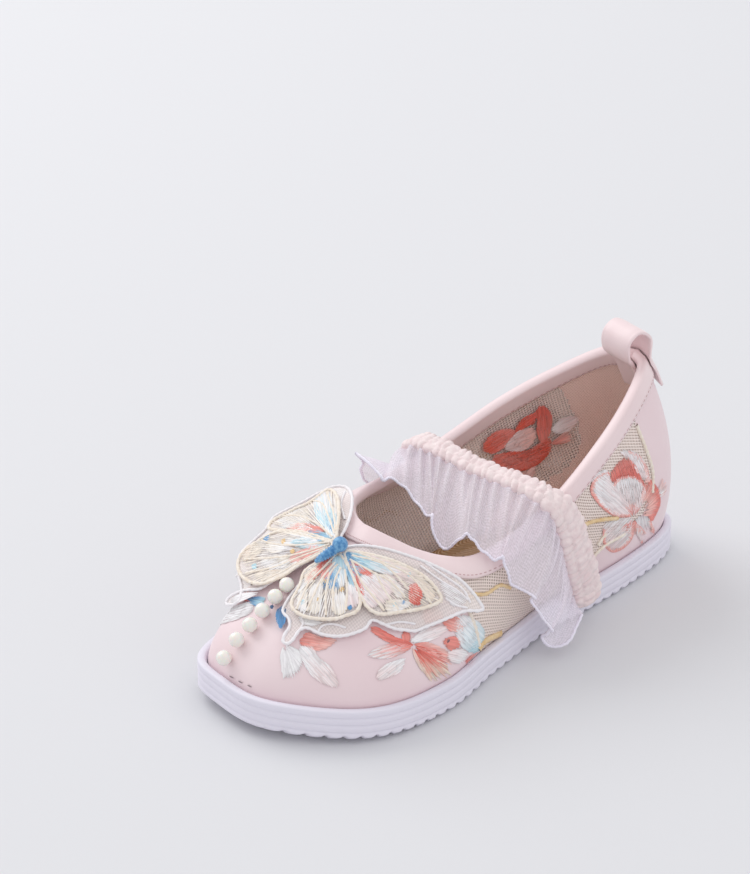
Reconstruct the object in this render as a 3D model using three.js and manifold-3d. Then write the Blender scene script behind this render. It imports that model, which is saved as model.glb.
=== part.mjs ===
import * as THREE from 'three';
import { mergeVertices } from 'three/addons/utils/BufferGeometryUtils.js';
import Module from 'manifold-3d';

const wasm = await Module();
wasm.setup();

// An embroidered strap shoe for a small child, left foot, in millimetres.
// +X points to the toe, +Y to the outer side of the foot and +Z up. The origin lies on the
// flat of the sole, at half its length.

// Driving dimensions
const LENGTH = 186;             // sole, from heel to toe
const BALL_WIDTH = 76;          // sole, across the ball of the foot
const HEEL_HEIGHT = 73;         // collar's edge at the back, above the floor
const INSTEP_HEIGHT = 48.2;     // collar's edge at the front of the opening
const GAP = 0.3;                // between two pieces that meet

const FLOOR_HEIGHT = 8;         // rubber under the foot
const RIM_HEIGHT = 11;          // top of the sole's side
const RIM_WALL = 3.3;           // sole's side at the level of the cup's floor
const RIM_TOP_WALL = 2.2;       // sole's side at its top
const RIB_DEPTH = 0.7;          // grooves between the ribs of the sole's side
const TREAD_PITCH = 4.6;        // grooves across the tread, open at the sole's side
const TREAD_GROOVE = 2;         // width of a groove
const TREAD_DEPTH = 1.3;
const LOWER_INSET = 1.8;        // the sole's side turns in at the floor
const TOE_SPRING = 3.5;          // lift of the sole's tip
const ARCH_LIFT = 1;            // hollow under the waist

const WALL = 1.6;               // satin, lining and padding of the upper
const INSOLE_THICKNESS = 2.5;
const INSOLE_BEVEL = 1;
const TAPE_WIDTH = 6.5;         // satin tape folded over the collar's edge
const TAPE_THICKNESS = 0.8;

const LOOP_WIDTH = 14;          // pull loop at the heel
const LOOP_THICKNESS = 1.6;
const LOOP_SEWN = 13;           // length that lies on the heel
const LOOP_RISE = 13.5;         // height of its bow over the collar's edge

const STRAP_WIDTH = 11.5;       // at the two seams
const STRAP_CROWN_WIDTH = 8.5;  // over the foot
const STRAP_THICKNESS = 4.6;
const STRAP_FOLD_PITCH = 3.7;
const STRAP_FOLD_DEPTH = 0.6;
const STRAP_RISE = 5;           // crown of the strap over the two points where it leaves the sides

const FRILL_DEPTH = 22;
const FRILL_THICKNESS = 0.8;
const FRILL_WAVE = 2.2;
const FRILL_WAVE_PITCH = 15;

const WING_THICKNESS = 0.8;
const WING_GAP = 0.9;           // the wings' sheets are flat between their corners
const WING_SPAN = 78;           // both under wings together
const WING_CREST = 51;          // height of the sheet over its root
const BODY_LENGTH = 13;
const BODY_WIDTH = 4.4;

const PEARL = 5;
const PEARL_COUNT = 6;
const PEARL_PITCH = 6.4;
const FIRST_PEARL = 6.4;        // from the sole's rim to the middle of the first pearl

// Outline of the sole. at: share of the length from the heel. outer, inner: half widths as
// shares of the ball's width, before both ends are rounded.
const PLAN = [
  { at: 0.00, outer: 0.355, inner: 0.342 },
  { at: 0.15, outer: 0.362, inner: 0.349 },
  { at: 0.40, outer: 0.403, inner: 0.352 },
  { at: 0.55, outer: 0.493, inner: 0.380 },
  { at: 0.68, outer: 0.612, inner: 0.408 },
  { at: 0.85, outer: 0.671, inner: 0.400 },
  { at: 1.00, outer: 0.500, inner: 0.375 },
];
const END_ROUNDING = 0.53;

// Side of the sole. level: share of the rim's height. inset: from the widest outline, in
// shares of the rib depth. Grooves lie between ribs.
const SIDE = [
  { level: 0.24, inset: 0.30 },
  { level: 0.29, inset: 1.30 },
  { level: 0.34, inset: 0.10 },
  { level: 0.47, inset: 0.00 },
  { level: 0.52, inset: 1.00 },
  { level: 0.57, inset: 0.10 },
  { level: 0.69, inset: 0.30 },
  { level: 0.74, inset: 1.30 },
  { level: 0.79, inset: 0.60 },
  { level: 0.95, inset: 1.10 },
  { level: 1.00, inset: 2.00 },
];

// Ribs of the upper. at: share of the half outline from the heel to the toe.
// x, y and rise give the collar's edge on the outer and inner side: x as a share of the
// length, y of the ball's width, and rise from the instep's height (0) to the heel's (1).
// out and reach are the curve's handles over the sole and at the collar, as shares of the
// ball's width. up and drop are the same handles' heights, as shares of the rib's height.
const RIBS = [
  { at: 0.00, x: -0.441, y: 0.000, rise: 1.000, innerX: -0.441, innerY: 0.000, innerRise: 1.000,
    out: 0.080, up: 0.31, reach: 0.161, drop: 0.325 },
  { at: 0.10, x: -0.419, y: 0.107, rise: 0.980, innerX: -0.414, innerY: 0.128, innerRise: 0.960,
    out: 0.067, up: 0.31, reach: 0.121, drop: 0.310 },
  { at: 0.20, x: -0.333, y: 0.235, rise: 0.758, innerX: -0.333, innerY: 0.268, innerRise: 0.617,
    out: 0.054, up: 0.31, reach: 0.067, drop: 0.310 },
  { at: 0.29, x: -0.237, y: 0.322, rise: 0.476, innerX: -0.237, innerY: 0.336, innerRise: 0.335,
    out: 0.054, up: 0.29, reach: 0.047, drop: 0.310 },
  { at: 0.375, x: -0.129, y: 0.362, rise: 0.073, innerX: -0.129, innerY: 0.362, innerRise: 0.032,
    out: 0.054, up: 0.31, reach: 0.054, drop: 0.310 },
  { at: 0.46, x: -0.022, y: 0.356, rise: -0.250, innerX: -0.032, innerY: 0.356, innerRise: -0.149,
    out: 0.054, up: 0.33, reach: 0.081, drop: 0.270 },
  { at: 0.53, x: 0.043, y: 0.322, rise: -0.391, innerX: 0.027, innerY: 0.322, innerRise: -0.149,
    out: 0.054, up: 0.37, reach: 0.107, drop: 0.200 },
  { at: 0.61, x: 0.091, y: 0.268, rise: -0.351, innerX: 0.091, innerY: 0.275, innerRise: -0.109,
    out: 0.060, up: 0.39, reach: 0.148, drop: 0.110 },
  { at: 0.70, x: 0.132, y: 0.201, rise: -0.230, innerX: 0.134, innerY: 0.215, innerRise: -0.048,
    out: 0.054, up: 0.38, reach: 0.201, drop: 0.090 },
  { at: 0.79, x: 0.161, y: 0.128, rise: -0.089, innerX: 0.161, innerY: 0.141, innerRise: -0.008,
    out: 0.040, up: 0.38, reach: 0.255, drop: 0.150 },
  { at: 0.89, x: 0.177, y: 0.060, rise: -0.016, innerX: 0.177, innerY: 0.067, innerRise: 0.000,
    out: 0.026, up: 0.39, reach: 0.309, drop: 0.200 },
  { at: 1.00, x: 0.183, y: 0.000, rise: 0.000, innerX: 0.183, innerY: 0.000, innerRise: 0.000,
    out: 0.020, up: 0.39, reach: 0.322, drop: 0.270 },
];

// Crown of the strap between the two sides. across: share of the way from the outer to the
// inner side. ahead and rise: shares of the strap's rise, toward the toe and up.
const CROWN = [
  { across: 0.15, ahead: 0.52, rise: 0.80 },
  { across: 0.50, ahead: 0.70, rise: 0.80 },
  { across: 0.76, ahead: 0.60, rise: 0.95 },
  { across: 0.92, ahead: 0.30, rise: 0.70 },
];

// Way of the frill from the strap's front edge. along: share of the strap's length from its
// outer end. ahead, out, up: direction toward the toe, off the shoe's middle plane and up.
const FRILL = [
  { along: 0.00, ahead: 0.90, out: 0.36, up: -0.20 },
  { along: 0.12, ahead: 0.92, out: 0.32, up: -0.22 },
  { along: 0.24, ahead: 0.92, out: 0.24, up: -0.28 },
  { along: 0.34, ahead: 0.92, out: 0.18, up: -0.28 },
  { along: 0.44, ahead: 0.90, out: 0.08, up: -0.30 },
  { along: 0.54, ahead: 0.93, out: 0.00, up: -0.26 },
  { along: 0.62, ahead: 0.97, out: 0.00, up: -0.10 },
  { along: 0.72, ahead: 0.97, out: 0.05, up: 0.12 },
  { along: 0.82, ahead: 0.95, out: 0.25, up: 0.05 },
  { along: 1.00, ahead: 0.93, out: 0.34, up: -0.08 },
];

// Outlines of the butterfly's wings seen from above, round from the head's side. x: from the
// middle of the sole as a share of the length. y: share of the span, + to the outer side.
const UNDER_WINGS = [
  { x: 0.225, y: 0.10 }, { x: 0.155, y: 0.27 }, { x: 0.085, y: 0.43 }, { x: 0.068, y: 0.50 },
  { x: 0.120, y: 0.52 }, { x: 0.180, y: 0.49 }, { x: 0.235, y: 0.44 }, { x: 0.290, y: 0.41 },
  { x: 0.330, y: 0.34 }, { x: 0.360, y: 0.27 }, { x: 0.400, y: 0.21 }, { x: 0.385, y: 0.15 },
  { x: 0.330, y: 0.08 }, { x: 0.300, y: 0.00 }, { x: 0.335, y: -0.08 }, { x: 0.375, y: -0.17 },
  { x: 0.408, y: -0.30 }, { x: 0.380, y: -0.36 }, { x: 0.330, y: -0.36 }, { x: 0.280, y: -0.36 },
  { x: 0.235, y: -0.34 }, { x: 0.190, y: -0.29 }, { x: 0.190, y: -0.20 }, { x: 0.215, y: -0.10 },
];
const UPPER_WINGS = [
  { x: 0.228, y: 0.08 }, { x: 0.190, y: 0.24 }, { x: 0.158, y: 0.36 }, { x: 0.150, y: 0.42 },
  { x: 0.200, y: 0.42 }, { x: 0.250, y: 0.39 }, { x: 0.285, y: 0.32 }, { x: 0.315, y: 0.22 },
  { x: 0.310, y: 0.11 }, { x: 0.295, y: 0.00 }, { x: 0.315, y: -0.09 }, { x: 0.345, y: -0.18 },
  { x: 0.355, y: -0.27 }, { x: 0.320, y: -0.31 }, { x: 0.275, y: -0.30 }, { x: 0.230, y: -0.27 },
  { x: 0.185, y: -0.21 }, { x: 0.190, y: -0.15 }, { x: 0.215, y: -0.07 },
];
const WING_ROOT = 0.262;        // of the length from the middle of the sole
const WING_DROOP = 0.0150;      // outer side, per millimetre squared
const WING_DROOP_INNER = 0.0040;
const WING_BEND = 0.0074;       // along the shoe
const WING_CREST_X = 20;

// Fineness
const CORNER_PITCH = 5.2;       // between corners round the sole
const LEVELS = 7;               // rows of the upper below its tape
const STRAP_CORNERS = 8;
const WING_RINGS = 4;

// Smooth value of one column of a table, between its rows
function column(rows, key, name, at) {
  let i = 0;
  while (i < rows.length - 2 && at > rows[i + 1][key]) i += 1;
  const a = rows[i];
  const b = rows[i + 1];
  const before = rows[Math.max(i - 1, 0)];
  const after = rows[Math.min(i + 2, rows.length - 1)];
  const span = b[key] - a[key];
  const t = (at - a[key]) / span;
  const slopeA = (b[name] - before[name]) / (b[key] - before[key]) * span;
  const slopeB = (after[name] - a[name]) / (after[key] - a[key]) * span;
  const t2 = t * t;
  const t3 = t2 * t;
  return (2 * t3 - 3 * t2 + 1) * a[name] + (t3 - 2 * t2 + t) * slopeA
    + (3 * t2 - 2 * t3) * b[name] + (t3 - t2) * slopeB;
}

// Sole's outline on one side (+1 outer, -1 inner) as a fine line from heel to toe
function sideLine(side) {
  const points = [];
  const steps = 600;
  for (let j = 0; j <= steps; j += 1) {
    const turn = Math.PI * (1 - Math.cos(Math.PI * j / steps)) / 2;
    const at = (1 - Math.cos(turn)) / 2;
    const half = column(PLAN, 'at', side > 0 ? 'outer' : 'inner', at) * BALL_WIDTH;
    const y = side * half * Math.sin(turn) ** END_ROUNDING;
    points.push(new THREE.Vector2((at - 0.5) * LENGTH, j === 0 || j === steps ? 0 : y));
  }
  const run = [0];
  for (let j = 1; j <= steps; j += 1) run.push(run[j - 1] + points[j].distanceTo(points[j - 1]));
  return { points, run, total: run[steps] };
}

const OUTER_LINE = sideLine(1);
const INNER_LINE = sideLine(-1);
const PERIMETER = OUTER_LINE.total + INNER_LINE.total;

// Corners round the sole, the insole and the upper, which lie side by side
const STATIONS = Math.round(PERIMETER / CORNER_PITCH / 4) * 4;

function onLine(line, share) {
  const want = share * line.total;
  let low = 0;
  let high = line.run.length - 1;
  while (high - low > 1) {
    const middle = (low + high) >> 1;
    if (line.run[middle] > want) high = middle; else low = middle;
  }
  const t = (want - line.run[low]) / (line.run[high] - line.run[low]);
  return line.points[low].clone().lerp(line.points[high], t);
}

// Point of the sole's outline at a station, moved in by an inset. Station 0 is the heel,
// 1 the toe by the outer side, and 2 the heel again by the inner side.
function edge(station, inset) {
  const point = (s) => {
    const wrapped = (s + 2) % 2;
    return wrapped <= 1 ? onLine(OUTER_LINE, wrapped) : onLine(INNER_LINE, 2 - wrapped);
  };
  const here = point(station);
  const step = 0.012;
  const along = point(station + step).sub(point(station - step)).normalize();
  const out = new THREE.Vector2(-along.y, along.x);
  return { x: here.x - out.x * inset, y: here.y - out.y * inset, outX: out.x, outY: out.y };
}

// Lift of the sole off the floor: flat under heel and forefoot, hollow at the waist, raised
// at the toe
const SPRING_START = LENGTH * 0.11;
const ARCH_START = -LENGTH * 0.2;
const ARCH_END = -LENGTH * 0.03;
function lift(x) {
  const spring = Math.max((x - SPRING_START) / (LENGTH / 2 - SPRING_START), 0);
  const arch = THREE.MathUtils.clamp((x - ARCH_START) / (ARCH_END - ARCH_START), 0, 1);
  return TOE_SPRING * spring ** 2 + ARCH_LIFT * Math.sin(Math.PI * arch) ** 2;
}

// Ring of corners round the sole
function soleRing(level, inset) {
  const ring = [];
  for (let i = 0; i < STATIONS; i += 1) {
    const p = edge(2 * i / STATIONS, inset);
    ring.push(new THREE.Vector3(p.x, p.y, lift(p.x) + level));
  }
  return ring;
}

// Closed solid from corners and triangles, turned so that its faces look out
function solid(corners, triangles) {
  let volume = 0;
  for (const [a, b, c] of triangles) {
    volume += corners[a].dot(new THREE.Vector3().crossVectors(corners[b], corners[c]));
  }
  const faces = volume < 0 ? triangles.map(([a, b, c]) => [a, c, b]) : triangles;
  const geometry = new THREE.BufferGeometry();
  geometry.setAttribute('position',
    new THREE.Float32BufferAttribute(corners.flatMap((p) => [p.x, p.y, p.z]), 3));
  geometry.setIndex(faces.flat());
  geometry.computeVertexNormals();
  return geometry;
}

// Strip between two rings of corners, given by their numbers
function bridge(triangles, first, second) {
  for (let i = 0; i < first.length; i += 1) {
    const j = (i + 1) % first.length;
    triangles.push([first[i], first[j], second[j]], [first[i], second[j], second[i]]);
  }
}

// Flat cap of a ring whose corners mirror each other across the shoe's length
function ladder(triangles, ring, flip) {
  const n = ring.length;
  const add = (a, b, c) => triangles.push(flip ? [a, c, b] : [a, b, c]);
  add(ring[0], ring[1], ring[n - 1]);
  for (let i = 1; i < n / 2 - 1; i += 1) {
    add(ring[i], ring[i + 1], ring[n - i - 1]);
    add(ring[i], ring[n - i - 1], ring[n - i]);
  }
  add(ring[n / 2 - 1], ring[n / 2], ring[n / 2 + 1]);
}

// Fan cap of a ring round its first corner
function fan(triangles, ring, flip) {
  for (let i = 1; i < ring.length - 1; i += 1) {
    triangles.push(flip ? [ring[0], ring[i + 1], ring[i]] : [ring[0], ring[i], ring[i + 1]]);
  }
}

// Skin over rings of corners. cap is a function for both ends, or null where the rings
// close on themselves.
function skin(rings, cap) {
  const corners = rings.flat();
  const numbers = [];
  let start = 0;
  for (const ring of rings) {
    numbers.push(ring.map((_, i) => start + i));
    start += ring.length;
  }
  const triangles = [];
  for (let k = 0; k < rings.length - 1; k += 1) bridge(triangles, numbers[k], numbers[k + 1]);
  if (cap) {
    cap(triangles, numbers[0], true);
    cap(triangles, numbers[rings.length - 1], false);
  } else {
    bridge(triangles, numbers[rings.length - 1], numbers[0]);
  }
  return solid(corners, triangles);
}

// Boolean solid of a closed geometry, and back
function toManifold(geometry) {
  const bare = geometry.clone();
  bare.deleteAttribute('normal');
  bare.deleteAttribute('uv');
  const merged = mergeVertices(bare, 1e-4);
  return new wasm.Manifold(new wasm.Mesh({
    numProp: 3,
    vertProperties: new Float32Array(merged.attributes.position.array),
    triVerts: new Uint32Array(merged.index.array),
  }));
}

function fromManifold(manifold) {
  const mesh = manifold.getMesh();
  const geometry = new THREE.BufferGeometry();
  geometry.setAttribute('position', new THREE.BufferAttribute(mesh.vertProperties, 3));
  geometry.setIndex(new THREE.BufferAttribute(mesh.triVerts, 1));
  geometry.computeVertexNormals();
  return geometry;
}

// One groove of the tread: a wedge across the sole
function treadGroove(x) {
  const wedge = new THREE.Shape();
  wedge.moveTo(-TREAD_GROOVE / 2 - 0.5, -TREAD_DEPTH / 2);
  wedge.lineTo(TREAD_GROOVE / 2 + 0.5, -TREAD_DEPTH / 2);
  wedge.lineTo(0, TREAD_DEPTH);
  wedge.closePath();
  const geometry = new THREE.ExtrudeGeometry(wedge, { depth: 2 * BALL_WIDTH, bevelEnabled: false });
  geometry.rotateX(Math.PI / 2);
  geometry.translate(x, BALL_WIDTH, lift(x));
  return geometry;
}

// Outsole: a cup with a ribbed side and grooves across its tread
function outsole() {
  const rings = [soleRing(0, LOWER_INSET), soleRing(RIM_HEIGHT * 0.12, LOWER_INSET / 3)];
  for (const row of SIDE) rings.push(soleRing(row.level * RIM_HEIGHT, row.inset * RIB_DEPTH));
  rings.push(soleRing(RIM_HEIGHT, RIM_TOP_WALL));
  rings.push(soleRing(FLOOR_HEIGHT, RIM_WALL));
  let cup = toManifold(skin(rings, ladder));
  const grooves = Math.floor((LENGTH / 2 - LOWER_INSET) / TREAD_PITCH - 0.5);
  for (let i = -grooves; i <= grooves - 1; i += 1) {
    cup = cup.subtract(toManifold(treadGroove((i + 0.5) * TREAD_PITCH)));
  }
  return fromManifold(cup);
}

// The upper stands in the cup, and the insole inside the upper
const UPPER_INSET = RIM_WALL + GAP;
const UPPER_FOOT = FLOOR_HEIGHT + GAP;
const INSOLE_INSET = UPPER_INSET + WALL + GAP;

function insole() {
  return skin([
    soleRing(UPPER_FOOT, INSOLE_INSET),
    soleRing(UPPER_FOOT + INSOLE_THICKNESS - INSOLE_BEVEL, INSOLE_INSET),
    soleRing(UPPER_FOOT + INSOLE_THICKNESS, INSOLE_INSET + INSOLE_BEVEL),
  ], ladder);
}

// One rib of the upper as a curve from the sole to the collar's edge
function rib(station) {
  const wrapped = (station + 2) % 2;
  const outer = wrapped <= 1;
  const at = outer ? wrapped : 2 - wrapped;
  const get = (name) => column(RIBS, 'at', name, at);
  const foot = edge(wrapped, UPPER_INSET);
  const bottom = new THREE.Vector3(foot.x, foot.y, lift(foot.x) + UPPER_FOOT);
  const rise = outer ? get('rise') : get('innerRise');
  const top = new THREE.Vector3(
    (outer ? get('x') : get('innerX')) * LENGTH,
    (outer ? get('y') : -get('innerY')) * BALL_WIDTH,
    INSTEP_HEIGHT + (HEEL_HEIGHT - INSTEP_HEIGHT) * rise,
  );
  const height = top.z - bottom.z;
  const outward = new THREE.Vector3(foot.outX, foot.outY, 0);
  const away = bottom.clone().sub(top).setZ(0).addScaledVector(outward, BALL_WIDTH * 0.1).normalize();
  const low = bottom.clone().addScaledVector(outward, get('out') * BALL_WIDTH);
  low.z += get('up') * height;
  const high = top.clone().addScaledVector(away, get('reach') * BALL_WIDTH);
  high.z -= get('drop') * height;
  return new THREE.CubicBezierCurve3(bottom, low, high, top);
}

// Surface of the upper: point and outward normal at a station and a share v of its rib
function surface(station, v) {
  const step = 0.01;
  const curve = rib(station);
  const point = curve.getPoint(v);
  const up = curve.getTangent(v);
  const round = rib(station + step).getPoint(v).sub(rib(station - step).getPoint(v));
  const normal = new THREE.Vector3().crossVectors(up, round).normalize();
  return { point, up, normal };
}

// Share of the rib at which the collar's tape ends
function tapeStart(station, width) {
  const curve = rib(station);
  return 1 - width / curve.getTangent(1).multiplyScalar(
    3 * curve.v3.distanceTo(curve.v2)).length();
}

const RIB_AT = Array.from({ length: STATIONS }, (_, i) => 2 * i / STATIONS);

function offsetPoint(station, v, distance) {
  const s = surface(station, v);
  return s.point.addScaledVector(s.normal, distance);
}

// Upper: one hollow wall, open at the collar and underneath
function upper() {
  const shares = (station) => {
    const end = tapeStart(station, TAPE_WIDTH);
    const list = Array.from({ length: LEVELS }, (_, k) => end * k / (LEVELS - 1));
    list.push(1 - (1 - end) / 2, 1);
    return list;
  };
  const rings = [];
  const count = shares(0).length;
  for (let k = 0; k < count; k += 1) {
    rings.push(RIB_AT.map((s) => offsetPoint(s, shares(s)[k], 0)));
  }
  for (let k = count - 1; k >= 0; k -= 1) {
    rings.push(RIB_AT.map((s) => {
      const inside = offsetPoint(s, shares(s)[k], -WALL);
      if (k === 0) inside.z = Math.max(inside.z, surface(s, 0).point.z);
      return inside;
    }));
  }
  return skin(rings, null);
}

// Tape folded over the collar's edge: a leg outside, a leg inside and a round back
function collarBinding() {
  const sections = RIB_AT.map((s) => {
    const end = tapeStart(s, TAPE_WIDTH);
    const low = surface(s, end);
    const middle = surface(s, 1 - (1 - end) / 2);
    const top = surface(s, 1);
    const put = (place, distance, over) => place.point.clone()
      .addScaledVector(place.normal, distance).addScaledVector(top.up, over);
    const far = GAP + TAPE_THICKNESS;
    return [
      put(low, far, 0), put(middle, far, 0), put(top, far, 0),
      put(top, far * 0.4, far), put(top, -WALL - far * 0.4, far),
      put(top, -WALL - far, 0), put(middle, -WALL - far, 0), put(low, -WALL - far, 0),
      put(low, -WALL - GAP, 0), put(middle, -WALL - GAP, 0), put(top, -WALL - GAP, GAP),
      put(top, GAP, GAP), put(middle, GAP, 0), put(low, GAP, 0),
    ];
  });
  return skin(sections, null);
}

// Point over or under the heel's wall, at a length below the collar's edge and at one side
function besideHeel(y, below, distance) {
  let station = 0;
  const share = () => tapeStart(station, below);
  while (Math.abs(rib(station).getPoint(share()).y) < Math.abs(y)) {
    station += Math.sign(y) * 0.002;
  }
  return offsetPoint(station, share(), distance);
}

// Folded pull loop: up the outside of the heel, over in a bow and down the inside. Five
// lines along it, from edge to edge, follow the heel's round.
function heelPullLoop() {
  const off = GAP + TAPE_THICKNESS + 1.5 * GAP + LOOP_THICKNESS / 2;
  const top = surface(0, 1);
  const half = off + WALL / 2;
  const over = (distance, share) => top.point.clone()
    .addScaledVector(top.normal, distance).addScaledVector(top.up, LOOP_RISE * share);
  const line = (y) => {
    const at = (below, distance) => besideHeel(y, below * LOOP_SEWN, distance);
    const bow = (distance, share) => over(distance, share).setY(y);
    return new THREE.CatmullRomCurve3([
      at(1, off), at(0.5, off), at(0, off),
      bow(off + half * 0.5, 0.5), bow(half * 0.7 - WALL / 2, 0.92),
      bow(-half * 0.9 - WALL / 2, 0.92), bow(-WALL - off - half * 0.9, 0.5),
      at(0, -WALL - off), at(0.5, -WALL - off), at(1, -WALL - off),
    ], false, 'centripetal');
  };
  const lines = [-1, -0.5, 0, 0.5, 1].map((side) => line(side * LOOP_WIDTH / 2));
  const rings = [];
  const steps = 24;
  for (let i = 0; i <= steps; i += 1) {
    const corner = (path, face) => {
      const along = path.getTangent(i / steps).setY(0).normalize();
      const thick = new THREE.Vector3(along.z, 0, -along.x);
      return path.getPoint(i / steps).addScaledVector(thick, face * LOOP_THICKNESS / 2);
    };
    rings.push([
      ...lines.map((l) => corner(l, -1)),
      ...lines.slice().reverse().map((l) => corner(l, 1)),
    ]);
  }
  return skin(rings, fan);
}

// Middle line of the strap, from the outer end of the seam over the foot to the inner end
const STRAP_HALF = STRAP_THICKNESS / 2 + STRAP_FOLD_DEPTH;
const STRAP_OUTER = { foot: 0.315, collar: 0.385 };
const STRAP_INNER = { foot: 0.360, collar: 0.425 };
function strapSide(place, side) {
  const station = (share) => (side > 0 ? share : 2 - share);
  const off = GAP + TAPE_THICKNESS + GAP + STRAP_HALF;
  const points = [];
  for (const level of [0.62, 1.25]) {
    const p = edge(station(place.foot), -GAP - STRAP_HALF);
    points.push(new THREE.Vector3(p.x, p.y, lift(p.x) + RIM_HEIGHT * level));
  }
  for (const v of [0.5, 0.75, 1]) {
    const share = place.foot + (place.collar - place.foot) * v;
    points.push(offsetPoint(station(share), v, off));
  }
  return points;
}

function strapPath() {
  const outer = strapSide(STRAP_OUTER, 1);
  const inner = strapSide(STRAP_INNER, -1).reverse();
  const from = outer[outer.length - 1];
  const to = inner[0];
  const crown = CROWN.map((row) => from.clone().lerp(to, row.across)
    .add(new THREE.Vector3(row.ahead * STRAP_RISE, 0, row.rise * STRAP_RISE)));
  return new THREE.CatmullRomCurve3([...outer, ...crown, ...inner], false, 'centripetal');
}

const STRAP = strapPath();
const STRAP_LENGTH = STRAP.getLength();

// Axes of the strap's section: along it, toward the toe and off the foot
function strapFrame(share) {
  const along = STRAP.getTangentAt(share);
  const ahead = new THREE.Vector3(1, 0, 0).addScaledVector(along, -along.x).normalize();
  const off = new THREE.Vector3().crossVectors(along, ahead).normalize();
  return { point: STRAP.getPointAt(share), ahead, off };
}

function strapHalfWidth(share) {
  const side = THREE.MathUtils.smoothstep(Math.abs(2 * share - 1), 0.1, 0.8);
  return THREE.MathUtils.lerp(STRAP_CROWN_WIDTH, STRAP_WIDTH, side) / 2;
}

function instepStrap() {
  const folds = Math.round(STRAP_LENGTH / STRAP_FOLD_PITCH);
  const rings = [];
  for (let i = 0; i <= 2 * folds; i += 1) {
    const { point, ahead, off } = strapFrame(i / (2 * folds));
    const puff = i % 2 === 0 ? 0 : STRAP_FOLD_DEPTH;
    const half = strapHalfWidth(i / (2 * folds));
    const ring = [];
    for (let k = 0; k < STRAP_CORNERS; k += 1) {
      const turn = 2 * Math.PI * k / STRAP_CORNERS;
      ring.push(point.clone()
        .addScaledVector(ahead, Math.cos(turn) * (half - STRAP_FOLD_DEPTH + puff))
        .addScaledVector(off, Math.sin(turn) * (STRAP_THICKNESS / 2 + puff)));
    }
    rings.push(ring);
  }
  return skin(rings, fan);
}

// Frill: a waved sheet whose root lies along the strap's front edge
function strapRuffle() {
  const waves = Math.round(STRAP_LENGTH / FRILL_WAVE_PITCH);
  const steps = waves * 6;
  const depths = [0, 0.5, 1];
  const rings = [];
  for (let i = 0; i <= steps; i += 1) {
    const along = i / steps;
    const share = 0.015 + 0.97 * along;
    const { point, ahead, off } = strapFrame(share);
    const side = Math.sign(point.y) * Math.min(Math.abs(point.y) / 20, 1);
    const way = new THREE.Vector3(
      column(FRILL, 'along', 'ahead', along),
      column(FRILL, 'along', 'out', along) * side,
      column(FRILL, 'along', 'up', along),
    ).normalize();
    const wave = Math.sin(2 * Math.PI * waves * along);
    const put = (depth, face) => point.clone()
      .addScaledVector(ahead, strapHalfWidth(share) + GAP)
      .addScaledVector(way, depth * FRILL_DEPTH)
      .addScaledVector(off, wave * depth * FRILL_WAVE + face * FRILL_THICKNESS / 2);
    rings.push([
      ...depths.map((depth) => put(depth, 1)),
      ...depths.slice().reverse().map((depth) => put(depth, -1)),
    ]);
  }
  return skin(rings, fan);
}

// Corners of the upper's vamp, for the height under a wing
const VAMP = [];
for (let i = 0; i <= 60; i += 1) {
  const station = 0.5 + i / 60;
  const tape = tapeStart(station, TAPE_WIDTH + 2);
  const row = [];
  for (let k = 0; k <= 20; k += 1) {
    const v = k / 20;
    const s = surface(station, v);
    row.push({ point: s.point, taped: v > tape });
  }
  VAMP.push(row);
}

// Height of the vamp, or of the tape on it, over a place in plan
function vampTop(x, y) {
  let best = -Infinity;
  for (let i = 0; i < VAMP.length - 1; i += 1) {
    for (let k = 0; k < VAMP[i].length - 1; k += 1) {
      const quad = [VAMP[i][k], VAMP[i + 1][k], VAMP[i + 1][k + 1], VAMP[i][k + 1]];
      for (const [a, b, c] of [[quad[0], quad[1], quad[2]], [quad[0], quad[2], quad[3]]]) {
        const area = (b.point.x - a.point.x) * (c.point.y - a.point.y)
          - (c.point.x - a.point.x) * (b.point.y - a.point.y);
        const s = ((x - a.point.x) * (c.point.y - a.point.y)
          - (c.point.x - a.point.x) * (y - a.point.y)) / area;
        const t = ((b.point.x - a.point.x) * (y - a.point.y)
          - (x - a.point.x) * (b.point.y - a.point.y)) / area;
        if (s >= -0.01 && t >= -0.01 && s + t <= 1.01) {
          const tape = a.taped || b.taped || c.taped ? GAP + TAPE_THICKNESS : 0;
          const z = a.point.z + s * (b.point.z - a.point.z) + t * (c.point.z - a.point.z);
          best = Math.max(best, z + tape);
        }
      }
    }
  }
  return best;
}

// Underside of the lowest wing over a place in plan
function wingHeight(x, y) {
  const droop = y > 0 ? WING_DROOP : WING_DROOP_INNER;
  const free = WING_CREST - WING_BEND * (x - WING_CREST_X) ** 2 - droop * y ** 2;
  return Math.max(free, vampTop(x, y) + WING_GAP);
}

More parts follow.
